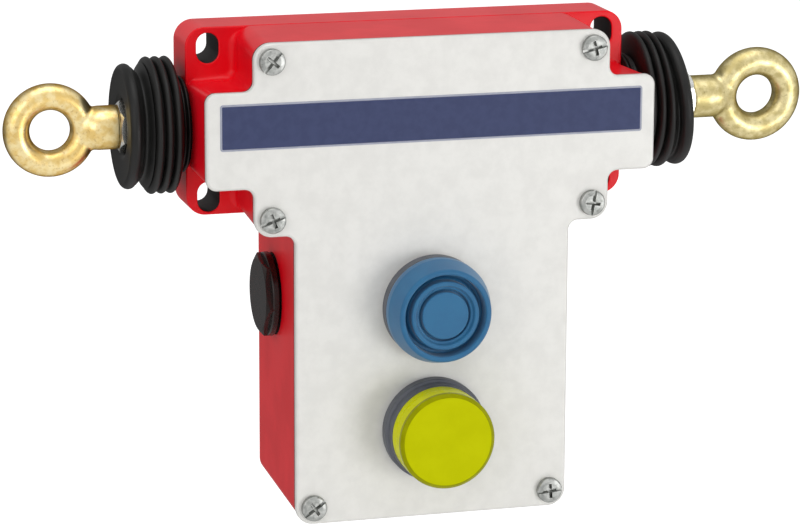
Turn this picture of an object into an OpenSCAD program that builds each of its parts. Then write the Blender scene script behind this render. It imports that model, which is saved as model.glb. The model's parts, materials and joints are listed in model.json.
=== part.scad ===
// Rope pull switch: a cast housing with a pull eye at each end, a booted reset
// button, a pilot light and the mechanism that they work.
// Origin: centre of the four mounting slots, on the wall face.
// +X to the right, +Y into the wall, +Z up. Millimetres.

/* [Housing] */
// Distance from the wall face to the front of the cover
body_depth = 54; // [50:0.5:60]
// Thickness of the cast walls at the front rim
wall_t = 4.2; // [3.4:0.1:4.6]
// Thickness of the back wall
back_t = 4; // [3:0.1:5]
// Draft of the cast walls, in degrees
draft = 2; // [0.5:0.1:2.4]
// Half width across the two arms
arm_half = 65; // [63.4:0.2:68]
// Top edge of the arms
arm_top = 13.3; // [12.7:0.1:14.5]
// Bottom edge of the arms
arm_bottom = -13.9; // [-15.5:0.1:-13.3]
// Distance from the arms' ends in to the upper block's sides
lobe_step = 13.5; // [12.5:0.1:15]
// Top edge of the upper block
lobe_top = 26.7; // [25.9:0.1:28.5]
// Bottom edge of the upper block
lobe_bottom = -27.7; // [-29.5:0.1:-26.9]
// Half width of the wiring box
box_half = 39.9; // [39:0.1:42]
// Bottom edge of the wiring box
box_bottom = -111.6; // [-121.5:0.5:-107.5]
// Radius of the outline's main corners
corner_r = 5; // [3.5:0.1:6]
// Radius of the arms' corners
arm_corner_r = 3; // [2:0.1:4]
// Radius of the outline's inner corners
notch_r = 2.8; // [2:0.1:4]

/* [Mounting ears] */
// Top edge of the ears
ear_top = 27.3; // [26.9:0.1:28.5]
// Bottom edge of the ears
ear_bottom = -26.5; // [-27.5:0.1:-26.2]
// Thickness of the ears
ear_t = 16; // [12:0.2:20]
// Distance from the wall face to the ears' backs
ear_gap = 10; // [6:0.2:14]
// Corner radius of the ears
ear_corner_r = 5.5; // [3:0.5:7]
// Distance from the ears' ends in to the slots' centres
slot_inset = 6.4; // [5.8:0.1:7]
// Slot centres, bottom to top
slot_pitch_z = 42.6; // [42:0.2:42.8]
// Width of a slot
slot_w = 6.4; // [5.4:0.1:6.8]
// Length of a slot, end to end
slot_l = 8.6; // [7.6:0.1:8.8]

/* [Cover] */
// Thickness of the cover plate
cover_t = 2; // [1.5:0.1:3]
// Thickness of the gasket
gasket_t = 1.2; // [0.6:0.1:1.6]
// Overhang of the cover past the housing
cover_overhang = 0.4; // [0.3:0.1:0.8]
// Rounding of the cover's front edge
cover_edge_r = 0.8; // [0.4:0.1:1.2]
// Cover screw thread radius
cover_screw_r = 2; // [1.5:0.1:2.2]
// Cover screw head radius
screw_head_r = 3.65; // [3.2:0.05:4]
// Height of the name band
band_h = 13; // [8:0.5:16]
// Distance from the arms' ends to the name band
band_margin = 3.9; // [2:0.1:8]

/* [Rope axis] */
// Distance from the wall face to the rope axis
rope_depth = 21.9; // [21:0.1:24]
// Travel of each pull shaft
pull_travel = 8; // [4:0.5:8]
// Radius of the pull shafts
shaft_r = 6; // [5.5:0.1:6.1]
// Running clearance of shafts and plungers, radial
run_fit = 0.05; // [0.02:0.01:0.09]
// Radius of the shafts' threaded ends
thread_r = 4; // [3:0.1:4.4]
// Left eye centre, from the arm's end
left_eye_out = 38; // [37.8:0.2:43.8]
// Right eye centre, from the arm's end
right_eye_out = 43; // [37.8:0.2:47.8]
// Turn of the left eye about the rope axis, in degrees
left_eye_turn = 0; // [-90:1:90]
// Turn of the right eye about the rope axis, in degrees
right_eye_turn = 4; // [-90:1:90]
// Mean radius of the eye's ring
eye_ring_r = 9.65; // [9:0.05:11]
// Radius of the eye's section
eye_section_r = 3.7; // [3:0.1:4.2]
// Radius of the eye's shank
eye_shank_r = 6.25; // [5.8:0.05:7]
// Distance from the eye's centre to the end of its shank
eye_shank_len = 19.3; // [17.5:0.1:19.9]
// Width across flats of the lock nuts
lock_nut_af = 13; // [11:0.5:14]
// Thickness of the lock nuts
lock_nut_t = 4.2; // [3:0.1:4.2]

/* [Bellows] */
// Outer radius of the neck on the housing
neck_r = 13.4; // [13:0.1:13.6]
// Crest radius of the folds
fold_r = 19.6; // [18:0.1:20.5]
// Root radius between the folds
fold_root_r = 17.3; // [16:0.1:17.8]
// Root radius behind the lip
lip_root_r = 15.2; // [14:0.1:16]
// Radius of the dished lip
lip_r = 18.4; // [17:0.1:19.6]
// Rubber thickness
rubber_t = 1.6; // [1.2:0.1:1.8]

/* [Buttons] */
// Height of the reset button's axis
reset_z = -50; // [-51:0.1:-49]
// Height of the pilot light's axis
pilot_z = -85.5; // [-87.5:0.5:-84]
// Radius of the holes in the cover for the two heads
head_hole_r = 11.15; // [11:0.05:11.4]
// Radius of the collars behind the two heads
collar_r = 14.85; // [14:0.05:15.4]
// Distance that the reset head stands out of the cover
reset_reach = 12.9; // [12.5:0.1:14.5]
// Travel of the reset button
reset_travel = 3.5; // [2:0.1:3.6]
// Distance that the pilot lens stands out of the cover
lens_reach = 15.7; // [14.5:0.1:17]
// Radius of the pilot lens
lens_r = 13.8; // [13:0.1:14]

/* [Cable entries] */
// Radius of the threaded entries, at the wall
entry_r = 9.25; // [9:0.05:9.6]
// Height of the two side entries
side_entry_z = -51.5; // [-55.5:0.5:-49.5]
// Width of the flat seat round each side entry
seat_w = 25.4; // [24.8:0.2:28]
// Radius of the blanking plugs' flanges
plug_flange_r = 12.2; // [11.5:0.1:12.3]
// Width across flats of the blanking plugs
plug_af = 21; // [19:0.5:21.5]
// How far a plug's front flat is turned up from the front
plug_turn = 20; // [0:1:30]

/* [Mechanism] */
// Contact plunger, distance from the middle
plunger_x = 22; // [21:0.5:23]
// Radius of the contact plungers
plunger_r = 2; // [1.5:0.1:2.4]
// Fall of each plunger for one millimetre of pull
ramp_slope = 0.3; // [0.15:0.01:0.3]
// Smallest radius of the shafts' cams
cam_root_r = 4.5; // [4.4:0.1:4.8]
// Wire radius of the pull springs
pull_wire_r = 0.8; // [0.6:0.05:0.85]
// Turns of the pull springs
pull_turns = 6; // [4:0.5:6]
// Height of the latch lever's pivot
latch_pivot_z = -29.5; // [-31.5:0.5:-27.5]
// Radius of the latch pin
latch_pin_r = 2; // [1.5:0.1:2.2]

/* [Hidden] */
$fn = 48;

// Small gap between pieces that seat on one another
seat_gap = 0.1;
// Gap between pieces that move past one another
free_gap = 0.3;
// How far a cut runs past the face that it opens
past = 1;

rim_y = -(body_depth - cover_t - gasket_t);
cover_back_y = -(body_depth - cover_t);
front_y = -body_depth;
rope_z = (arm_top + arm_bottom) / 2;
lobe_half = arm_half - lobe_step;
arm_end = arm_half - cover_overhang;
ear_face_y = -(ear_gap + ear_t);
slot_pitch_x = 2 * (arm_end - slot_inset);
arm_wall = 9.2;
spigot_r = neck_r - 2.4;
spigot_len = 4.2;
left_eye_reach = arm_end + left_eye_out;
right_eye_reach = arm_end + right_eye_out;
bush_r = shaft_r + 1.8;
bush_flange_x = arm_end - arm_wall - 2;
cup_r = shaft_r + 2.2;
cup_inner_x = 30.2;
cup_outer_x = 33.6;
shoulder_x = arm_end + 14.3;
screw_inset = 5;
screw_at = [
    for (s = [-1, 1]) each [
        [s * (lobe_half - screw_inset), lobe_top - screw_inset],
        [s * (lobe_half - screw_inset), lobe_bottom + screw_inset],
        [s * (box_half - screw_inset), box_bottom + screw_inset]
    ]
];
// Each screw stopped at its own turn when it was tightened
screw_turn = [50, 20, 35, 15, 80, 5];
seat_x = box_half - cover_overhang - tan(draft) * body_depth + 0.1;
entry_boss_r = 12.6;
entry_boss_t = 3.4;
cavity_box_half = box_half - cover_overhang - wall_t;
cavity_bottom = box_bottom + cover_overhang + wall_t;
bottom_seat_z = box_bottom + cover_overhang + tan(draft) * body_depth - 0.1;
bottom_entry_y = -(body_depth / 2 - 2);
eye_bore_depth = eye_shank_len - eye_ring_r - 2.2;
cam_angle = atan(ramp_slope);
cam_inner_x = plunger_x - pull_travel - 4;
cam_end_x = plunger_x + 4;
tip_z = rope_z - cam_root_r - plunger_r / cos(cam_angle) - 0.08;
block_in = 12.4;
block_out = cavity_box_half - entry_boss_t - 1.3;
block_top = rope_z - cup_r - 5.2;
block_bottom = side_entry_z + 6;
block_front = -(rope_depth + 10.1);
land_depth = 6;
plunger_bore = 14;
plate_half = cavity_box_half - 1.9;
plate_top = lobe_top - cover_overhang - wall_t - 3.2;
plate_bottom = side_entry_z - 12;
plate_t = 1.8;
earth_x = -24;
earth_z = -95.5;
earth_boss_h = 4.5;
chassis_front = -back_t - seat_gap - plate_t;
barrel_r = head_hole_r - 0.2;
barrel_end = -38;
cap_back = reset_reach - 5.4;
plunger_end = -27;
latch_y = plunger_end + latch_pin_r + 0.5 + free_gap;
rod_r = 6;

// A piece of the plan outline between two depths, back first
module slab(back, front) {
    translate([0, back, 0]) rotate([90, 0, 0]) linear_extrude(back - front) children();
}

// Rectangle with round corners, given by its half width and its two edges
module round_rect(half, low, high, r) {
    translate([-half + r, low]) square([2 * (half - r), high - low]);
    translate([-half, low + r]) square([2 * half, high - low - 2 * r]);
    for (x = [-half + r, half - r], z = [low + r, high - r]) translate([x, z]) circle(r);
}

// Fillet of an inner corner that opens towards sx, sz
module fillet(r, sx, sz) {
    difference() {
        translate([sx > 0 ? 0 : -r, sz > 0 ? 0 : -r]) square(r);
        translate([sx * r, sz * r]) circle(r);
    }
}

// The inner corners of the outline: x, z and the way each opens in z
function inner_corners(inset) = [
    [lobe_half - inset, arm_top - inset, 1],
    [lobe_half - inset, arm_bottom + inset, -1],
    [box_half - inset, lobe_bottom + inset, -1]
];

// The plan of the cover, drawn in by an inset
module outline(inset = 0) {
    round_rect(arm_half - inset, arm_bottom + inset, arm_top - inset, max(0.6, arm_corner_r - inset));
    round_rect(lobe_half - inset, lobe_bottom + inset, lobe_top - inset, max(0.6, corner_r - inset));
    round_rect(box_half - inset, box_bottom + inset, 0, max(0.6, corner_r - inset));
    for (c = inner_corners(inset), s = [-1, 1])
        translate([s * c[0], c[1]]) fillet(notch_r + inset, s, c[2]);
}

// How far a side that leans in with the draft has come in at a depth
function lean_at(y) = tan(draft) * (y - rim_y);

// A cast block from the rim back to a depth, where it has the sizes of far.
// Each size is a list: half width, low edge, high edge.
module cast_block(near, far, y, r) {
    hull() {
        slab(rim_y + 0.1, rim_y) round_rect(near[0], near[1], near[2], r, $fn = 32);
        slab(y, y - 0.1) round_rect(far[0], far[1], far[2], r, $fn = 32);
    }
}

// The sizes of a block whose four sides lean in with the draft, at a depth
function leaned(size, y) = [size[0] - lean_at(y), size[1] + lean_at(y), size[2] - lean_at(y)];

// Rotates what is drawn along +Z to lie along X, outwards on side s
module outwards(s) {
    translate([0, -rope_depth, rope_z]) rotate([0, s * 90, 0]) children();
}

// A body of revolution about the rope axis, from a list of [distance, radius]
module turned(s, profile) {
    outwards(s) rotate_extrude() polygon([for (p = profile) [p[1], p[0]]]);
}

// A body of revolution about a button axis, from a list of [reach, radius].
// Reach counts out of the cover's front face.
module head(z, profile) {
    translate([0, front_y, z]) rotate([90, 0, 0])
        rotate_extrude() polygon([for (p = profile) [p[1], p[0]]]);
}

module housing() {
    inset = cover_overhang;
    cavity = cover_overhang + wall_t;
    color("crimson") difference() {
        cast_outside(inset);
        difference() {
            cavity_space(cavity);
            screw_bosses();
            entry_bosses();
            translate([earth_x, 0, earth_z]) rotate([90, 0, 0]) cylinder(r = 4.4, h = back_t + earth_boss_h);
        }
        for (p = screw_at) translate([p[0], rim_y + 15, p[1]]) rotate([90, 0, 0])
            cylinder(r = cover_screw_r + run_fit, h = 15 + past);
        for (s = [-1, 1]) {
            outwards(s) translate([0, 0, bush_flange_x])
                cylinder(r = bush_r + seat_gap, h = arm_wall + spigot_len + 4);
            translate([s * (seat_x - 9), -rope_depth, side_entry_z]) rotate([0, s * 90, 0])
                cylinder(r = entry_r, h = 12);
        }
        translate([0, bottom_entry_y, bottom_seat_z - 3]) cylinder(r = entry_r, h = 14);
        mounting_slots();
        for (p = chassis_screw_at()) translate([p[0], -1.6, p[1]]) rotate([90, 0, 0])
            cylinder(r = 1.5, h = back_t);
        translate([earth_x, -back_t / 2, earth_z]) rotate([90, 0, 0]) cylinder(r = 2.05, h = 12);
    }
}

// Outside of the casting: three drafted blocks, the ears and the spigots.
// The arms' ends and the upper block's top and bottom run flush into the ears.
module cast_outside(inset) {
    arm = [arm_end, arm_bottom + inset, arm_top - inset];
    lobe = [lobe_half - inset, lobe_bottom + inset, lobe_top - inset];
    box = [box_half - inset, box_bottom + inset, 0];
    arm_far = leaned(arm, ear_face_y);
    lobe_far = leaned(lobe, ear_face_y);
    difference() {
        union() {
            cast_block(arm, [arm_end, arm_far[1], arm_far[2]], ear_face_y, arm_corner_r - inset);
            cast_block(lobe, [lobe_far[0], ear_bottom + 0.1, ear_top - 0.1], ear_face_y, corner_r - inset);
            cast_block(box, leaned(box, 0), 0, corner_r - inset);
            for (size = [leaned(arm, 0), leaned(lobe, 0)])
                slab(0, -ear_gap - 1) round_rect(size[0], size[1], size[2], arm_corner_r);
            for (c = inner_corners(inset), s = [-1, 1]) cast_fillet(s * c[0], c[1], s, c[2], inset);
            slab(-ear_gap, ear_face_y) round_rect(arm_end, ear_bottom, ear_top, ear_corner_r);
        }
        for (s = [-1, 1]) translate([s > 0 ? seat_x : -seat_x - 6, rim_y + 6, side_entry_z - seat_w / 2])
            cube([6, -rim_y, seat_w]);
        translate([-seat_w / 2, rim_y + 6, bottom_seat_z - 6]) cube([seat_w, -rim_y, 6]);
    }
    for (s = [-1, 1]) outwards(s) translate([0, 0, arm_end - 4]) cylinder(r = spigot_r, h = 4 + spigot_len);
}

// Inner-corner fillet of the casting, leaning with the draft
module cast_fillet(x, z, sx, sz, inset) {
    intersection() {
        slab(0, rim_y) translate([-arm_half, box_bottom]) square([2 * arm_half, lobe_top - box_bottom]);
        translate([x, rim_y, z]) rotate([-sz * draft, 0, sx * draft]) translate([0, -rim_y + 2, 0])
            rotate([90, 0, 0]) linear_extrude(-rim_y + 4) {
                fillet(notch_r + inset, sx, sz);
                translate([sx > 0 ? -1 : -notch_r, sz > 0 ? -1 : -notch_r]) square([notch_r + 1, 1]);
                translate([sx > 0 ? -1 : 0, sz > 0 ? -1 : -notch_r]) square([1, notch_r + 1]);
            }
    }
}

// Hollow of the casting, open at the front
module cavity_space(cavity) {
    difference() {
        slab(-back_t, rim_y - past) outline(cavity);
        for (s = [-1, 1]) translate([s > 0 ? arm_end - arm_wall : -arm_end - past, rim_y, arm_bottom])
            cube([arm_wall + past, -rim_y, arm_top - arm_bottom]);
    }
}

// Round columns that carry the cover screws
module screw_bosses() {
    for (p = screw_at) translate([p[0], 0, p[1]]) rotate([90, 0, 0])
        cylinder(r = screw_inset - 0.3, h = -rim_y);
}

// Thickened rings inside the wall round the three entries
module entry_bosses() {
    for (s = [-1, 1]) translate([s * (cavity_box_half - entry_boss_t), -rope_depth, side_entry_z])
        rotate([0, s * 90, 0]) cylinder(r = entry_boss_r, h = entry_boss_t + past);
    translate([0, bottom_entry_y, cavity_bottom - past]) cylinder(r = entry_boss_r, h = entry_boss_t + past);
}

// Four upright slots, each with a shallow sunk land round its mouth
module mounting_slots() {
    land = 0.5;
    for (x = [-1, 1] * slot_pitch_x / 2, z = [-1, 1] * slot_pitch_z / 2) translate([x, 0, z]) {
        slab(past, ear_face_y - past) slot_shape(slot_w / 2, slot_l);
        slab(ear_face_y + land / 2, ear_face_y - past) slot_shape(slot_w / 2 + land, slot_l + 2 * land);
    }
}

module slot_shape(r, len) {
    translate([-r, -len / 2 + r]) square([2 * r, len - 2 * r]);
    for (z = [-len / 2 + r, len / 2 - r]) translate([0, z]) circle(r);
}

module cover() {
    layers = 4;
    color("gainsboro") difference() {
        union() {
            slab(cover_back_y, front_y + cover_edge_r) outline();
            for (i = [0 : layers - 1]) {
                low = front_y + cover_edge_r - cover_edge_r * sin(90 * i / layers);
                high = front_y + cover_edge_r - cover_edge_r * sin(90 * (i + 1) / layers);
                slab(low, high) outline(cover_edge_r * (1 - cos(90 * (i + 0.5) / layers)));
            }
        }
        for (z = [reset_z, pilot_z]) translate([0, cover_back_y + past, z]) rotate([90, 0, 0])
            cylinder(r = head_hole_r, h = cover_t + 2 * past);
        for (p = screw_at) translate([p[0], cover_back_y + past, p[1]]) rotate([90, 0, 0])
            cylinder(r = cover_screw_r + 0.25, h = cover_t + 2 * past);
    }
}

module cover_gasket() {
    inset = cover_overhang / 2;
    color("dimgray") slab(rim_y, cover_back_y) difference() {
        union() {
            difference() {
                outline(inset);
                outline(cover_overhang + wall_t - 0.4);
            }
            intersection() {
                outline(inset);
                for (p = screw_at) translate(p) circle(screw_inset - 0.3);
            }
        }
        for (p = screw_at) translate(p) circle(cover_screw_r + 0.25);
    }
}

// Pan head with a slot and a cross, and its shank
module combi_screw(head_r, shank_r, head_h, shank_len) {
    cut = head_r * 0.26;
    difference() {
        rotate_extrude() polygon([
            [0, 0], [head_r - 0.35, 0], [head_r, -0.35], [head_r, 0.4 - head_h],
            [head_r - 0.15, -head_h], [shank_r, -head_h], [shank_r, -head_h - shank_len], [0, -head_h - shank_len]
        ]);
        translate([-head_r - past, -cut / 2, -head_h * 0.45]) cube([2 * head_r + 2 * past, cut, head_h]);
        for (a = [0, 90]) rotate(a) translate([-head_r * 0.62, -cut / 2, -head_h * 0.8])
            cube([head_r * 1.24, cut, head_h]);
    }
}

module cover_screws() {
    head_h = 1.9;
    color("silver") for (i = [0 : len(screw_at) - 1])
        translate([screw_at[i][0], front_y - head_h, screw_at[i][1]]) rotate([90, 0, 0])
            rotate(screw_turn[i]) combi_screw(screw_head_r, cover_screw_r, head_h, 13);
}

module name_band() {
    color("slateblue") translate([0, 0, (arm_top + arm_bottom) / 2 + 4])
        slab(front_y, front_y - 0.25) round_rect(arm_half - band_margin, -band_h / 2, band_h / 2, 0.6);
}

// Smooth step from a to b, as t goes from 0 to 1
function ease(a, b, t) = a + (b - a) * (1 - cos(180 * t)) / 2;

// Points of a wavy wall through a list of [distance, radius] crests and roots
function wave(knots, steps) = [
    for (i = [0 : len(knots) - 2], k = [0 : steps - 1])
        [knots[i][0] + (knots[i + 1][0] - knots[i][0]) * k / steps,
         ease(knots[i][1], knots[i + 1][1], k / steps)]
];

// Crests and roots of the bellows, from the neck's step to the lip
fold_x = [for (out = [3, 4.7, 6.3, 7.9, 9.4, 10.8, 13.4, 16.6]) arm_end + out];
fold_knots = [
    [fold_x[0], fold_root_r], [fold_x[1], fold_r - 0.4], [fold_x[2], fold_root_r],
    [fold_x[3], fold_r - 0.3], [fold_x[4], fold_root_r], [fold_x[5], fold_r],
    [fold_x[6], lip_root_r], [fold_x[7], lip_r]
];

module bellows(s) {
    outside = wave(fold_knots, 4);
    inside = [for (i = [len(outside) - 5 : -1 : 1]) [outside[i][0], outside[i][1] - rubber_t]];
    collar_in = shoulder_x - 2.4;
    color("black") turned(s, concat(
        [[arm_end + seat_gap, spigot_r + seat_gap], [arm_end + seat_gap, neck_r],
         [fold_x[0] - 0.6, neck_r], [fold_x[0] - 0.3, neck_r + 1.4]],
        outside,
        [[fold_x[7], lip_r], [fold_x[7] + 0.7, lip_r - 0.8], [fold_x[7] - 1, lip_root_r - 1.6],
         [shoulder_x, shaft_r + 3], [shoulder_x, shaft_r + 0.25], [collar_in, shaft_r + 0.25],
         [collar_in, shaft_r + 3], [fold_x[6] - 1.6, lip_root_r - 2.6]],
        inside,
        [[fold_x[0] + 0.9, neck_r - 1], [fold_x[0] + 0.9, spigot_r + seat_gap]]
    ));
}

module left_bellows() { bellows(-1); }
module right_bellows() { bellows(1); }

// Forged ring on a round shank that flattens as it runs into the ring
module eye(s, reach, turn) {
    color("gold") translate([0, -rope_depth, rope_z]) rotate([turn, 0, 0]) difference() {
        union() {
            translate([s * reach, 0, 0]) rotate([90, 0, 0]) rotate_extrude()
                translate([eye_ring_r, 0]) circle(eye_section_r);
            eye_shank(s, reach);
        }
        rotate([0, s * 90, 0]) translate([0, 0, reach - eye_shank_len - past])
            cylinder(r = thread_r + run_fit, h = eye_bore_depth + past);
    }
}

// Shank and neck: turned outside, pinched from front and back towards the ring
module eye_shank(s, reach) {
    start = reach - eye_shank_len;
    pinch = reach - eye_ring_r - 5.3;
    end = reach - eye_ring_r;
    side = eye_shank_r + 0.6;
    intersection() {
        rotate([0, s * 90, 0]) rotate_extrude() polygon([
            [0, start], [eye_shank_r - 0.5, start], [eye_shank_r, start + 0.5], [eye_shank_r, pinch],
            [eye_shank_r + 0.6, end - 2.6], [eye_shank_r + 2.1, end], [0, end]
        ]);
        rotate([0, 0, s > 0 ? 0 : 180]) translate([0, 0, -2 * eye_ring_r]) linear_extrude(4 * eye_ring_r)
            polygon([[start - past, -side], [pinch, -side], [end, 0.2 - eye_section_r],
                [end, eye_section_r - 0.2], [pinch, side], [start - past, side]]);
    }
}

module left_eye() { eye(-1, left_eye_reach, left_eye_turn); }
module right_eye() { eye(1, right_eye_reach, right_eye_turn); }

// Thin hexagon nut with chamfered corners, against the end of the eye's shank
module lock_nut(s, reach) {
    corner = lock_nut_af / 2 / cos(30);
    near = reach - eye_shank_len - 0.1 - lock_nut_t;
    color("silver") outwards(s) translate([0, 0, near]) difference() {
        intersection() {
            cylinder(r = corner, h = lock_nut_t, $fn = 6);
            rotate_extrude() polygon([
                [0, 0], [corner - 0.8, 0], [corner, 0.5], [corner, lock_nut_t - 0.5],
                [corner - 0.8, lock_nut_t], [0, lock_nut_t]
            ]);
        }
        translate([0, 0, -past]) cylinder(r = thread_r + run_fit, h = lock_nut_t + 2 * past);
    }
}

module left_lock_nut() { lock_nut(-1, left_eye_reach); }
module right_lock_nut() { lock_nut(1, right_eye_reach); }

// Turned shaft: cam cone, relief, collar, running part and threaded end
module shaft(s, reach) {
    cam_big = cam_root_r + ramp_slope * (plunger_x - cam_inner_x);
    thread_end = reach - eye_shank_len + eye_bore_depth - 0.5;
    color("lightsteelblue") turned(s, [
        [cam_inner_x, 0], [cam_inner_x, cam_big], [plunger_x, cam_root_r], [cam_end_x, cam_root_r],
        [cam_end_x + 1, shaft_r], [cam_end_x + 1, cup_r], [cup_inner_x - 0.1, cup_r],
        [cup_inner_x - 0.1, shaft_r], [shoulder_x, shaft_r], [shoulder_x, thread_r],
        [thread_end, thread_r], [thread_end, 0]
    ]);
}

module left_shaft() { shaft(-1, left_eye_reach); }
module right_shaft() { shaft(1, right_eye_reach); }

// Flanged sleeve in the arm's end wall
module guide_bush(s) {
    color("tan") turned(s, [
        [bush_flange_x, shaft_r + run_fit], [bush_flange_x, cup_r], [bush_flange_x + 1.9, cup_r],
        [bush_flange_x + 1.9, bush_r], [arm_end + spigot_len, bush_r],
        [arm_end + spigot_len, shaft_r + run_fit]
    ]);
}

module left_guide_bush() { guide_bush(-1); }
module right_guide_bush() { guide_bush(1); }

// Cup that the shaft's collar drives and the spring bears on
module spring_cup(s) {
    color("gray") turned(s, [
        [cup_inner_x, shaft_r + run_fit], [cup_inner_x, cup_r], [cup_outer_x, cup_r],
        [cup_outer_x, shaft_r + run_fit]
    ]);
}

module left_spring_cup() { spring_cup(-1); }
module right_spring_cup() { spring_cup(1); }

// Round wire wound about +Z from height 0 to height h
module coil(mean_r, wire_r, h, turns) {
    sides = 8;
    per_turn = 12;
    rings = round(turns * per_turn);
    rise = h - 2 * wire_r;
    points = [
        for (i = [0 : rings], k = [0 : sides - 1])
            let (a = 360 * turns * i / rings, b = 360 * k / sides, r = mean_r + wire_r * cos(b))
                [r * cos(a), r * sin(a), wire_r + rise * i / rings + wire_r * sin(b)]
    ];
    walls = [
        for (i = [0 : rings - 1], k = [0 : sides - 1])
            let (n = (k + 1) % sides) each [
                [i * sides + k, (i + 1) * sides + k, (i + 1) * sides + n],
                [i * sides + k, (i + 1) * sides + n, i * sides + n]
            ]
    ];
    caps = [[for (k = [0 : sides - 1]) k], [for (k = [sides - 1 : -1 : 0]) rings * sides + k]];
    polyhedron(points, concat(walls, caps));
}

module pull_spring(s) {
    color("lightgray") outwards(s) translate([0, 0, cup_outer_x + seat_gap])
        coil(shaft_r + free_gap + pull_wire_r, pull_wire_r, bush_flange_x - cup_outer_x - 2 * seat_gap, pull_turns);
}

module left_pull_spring() { pull_spring(-1); }
module right_pull_spring() { pull_spring(1); }

// Moulded contact block with a bore for its plunger and two terminal lands
module contact_block(s) {
    width = block_out - block_in;
    bore_x = s > 0 ? plunger_x - block_in : block_out - plunger_x;
    color("darkslategray") translate([s > 0 ? block_in : -block_out, 0, 0]) difference() {
        union() {
            translate([0, block_front, block_bottom])
                cube([width, -block_front + chassis_front - 0.1, block_top - block_bottom]);
            translate([bore_x, -rope_depth, block_top - 0.1]) cylinder(r = plunger_r + 2, h = 2.3);
        }
        translate([bore_x, -rope_depth, block_top - plunger_bore]) cylinder(r = plunger_r + run_fit, h = 18);
        translate([-past, block_front - past, block_bottom - past])
            cube([width + 2 * past, land_depth + past, 9 + past]);
        for (x = terminal_x()) translate([x, block_front + land_depth + 7, block_bottom + 4.5]) rotate([90, 0, 0])
            cylinder(r = 1.6, h = 8);
    }
}

// Terminal positions across a contact block
function terminal_x() = [for (share = [0.24, 0.76]) share * (block_out - block_in)];

module left_contact_block() { contact_block(-1); }
module right_contact_block() { contact_block(1); }

// Plunger with a ball end that rides on the shaft's cam
module contact_plunger(s) {
    bottom = block_top - plunger_bore + ramp_slope * pull_travel + 1;
    color("ivory") translate([s * plunger_x, -rope_depth, 0]) {
        translate([0, 0, bottom]) cylinder(r = plunger_r, h = tip_z - bottom);
        translate([0, 0, tip_z]) sphere(plunger_r);
    }
}

module left_contact_plunger() { contact_plunger(-1); }
module right_contact_plunger() { contact_plunger(1); }

module terminal_screws() {
    head_h = 1.9;
    color("silver") for (s = [-1, 1], x = terminal_x())
        translate([s > 0 ? block_in + x : -block_out + x, block_front + land_depth - head_h, block_bottom + 4.5])
            rotate([90, 0, 0]) rotate(30) combi_screw(2.9, 1.5, head_h, 6);
}

function chassis_screw_at() = [
    for (x = [5 - plate_half, plate_half - 5], z = [plate_top - 5, plate_bottom + 6]) [x, z]
];

// Steel plate on the back wall, with two ears for the latch lever
module chassis_plate() {
    ear_in = 6.4;
    color("lightgray") {
        difference() {
            slab(-back_t - seat_gap, chassis_front) round_rect(plate_half, plate_bottom, plate_top, 2);
            for (p = chassis_screw_at()) translate([p[0], 0, p[1]]) rotate([90, 0, 0]) cylinder(r = 1.7, h = 10);
        }
        for (s = [-1, 1]) difference() {
            translate([s > 0 ? ear_in : -ear_in - 1.6, latch_y - 5, latch_pivot_z - 5])
                cube([1.6, -latch_y + 5 + chassis_front + 0.5, 10]);
            translate([-20, latch_y, latch_pivot_z]) rotate([0, 90, 0])
                cylinder(r = latch_pin_r + 0.02, h = 40);
        }
    }
}

module chassis_screws() {
    color("silver") for (p = chassis_screw_at()) translate([p[0], chassis_front - 1.7, p[1]])
        rotate([90, 0, 0]) rotate(20) combi_screw(2.8, 1.45, 1.6, 3.8);
}

module earth_screw() {
    head_h = 1.9;
    color("goldenrod") translate([earth_x, -back_t - earth_boss_h - head_h, earth_z]) rotate([90, 0, 0])
        combi_screw(3.6, 2, head_h, 5);
}

// Two-armed lever: the reset plunger pushes its foot, its head carries the latch bar
module latch_lever() {
    arm_t = 8;
    head_z = rope_z - 11.7;
    color("slategray") difference() {
        union() {
            translate([-arm_t / 2, latch_y - 2, reset_z]) cube([arm_t, 4, head_z - reset_z]);
            for (z = [reset_z, head_z]) translate([-arm_t / 2, latch_y, z]) rotate([0, 90, 0])
                cylinder(r = latch_pin_r + 0.5, h = arm_t);
            translate([-6, latch_y, latch_pivot_z]) rotate([0, 90, 0]) cylinder(r = 4, h = 12);
            translate([-8.4, latch_y, head_z]) rotate([0, 90, 0]) cylinder(r = 1.6, h = 16.8);
        }
        translate([-20, latch_y, latch_pivot_z]) rotate([0, 90, 0]) cylinder(r = latch_pin_r + run_fit, h = 40);
    }
}

module latch_pin() {
    color("silver") translate([-8.8, latch_y, latch_pivot_z]) rotate([0, 90, 0])
        cylinder(r = latch_pin_r, h = 17.6);
}

// Reach of a depth measured from the wall face
function reach_of(y) = front_y - y;

// Base ring and threaded barrel of the reset button
module reset_bezel() {
    color("dimgray") head(reset_z, [
        [reach_of(barrel_end), rod_r + run_fit], [reach_of(barrel_end), barrel_r], [0, barrel_r], [0, collar_r],
        [3, collar_r], [3.4, collar_r - 0.5], [3.4, 9.2], [reach_of(barrel_end - 4), 9.2],
        [reach_of(barrel_end - 4), rod_r + run_fit]
    ]);
}

// Silicone skirt of the reset button, with its round rim and deep outer groove
module reset_boot() {
    top = reset_reach;
    color("steelblue") head(reset_z, [
        [3.6, 12.4], [3.6, 14.6], [4.2, 15], [6.4, 15], [9, 14.5], [top - 0.9, 13.6], [top - 0.3, 13.2],
        [top, 12.6], [top - 0.1, 12.1], [top - 0.6, 11.8], [top - 3.9, 11.6], [top - 4.1, 11.2],
        [top - 4.1, 10.5], [top - 5.4, 10.5], [top - 5.4, 11.4]
    ]);
}

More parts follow.
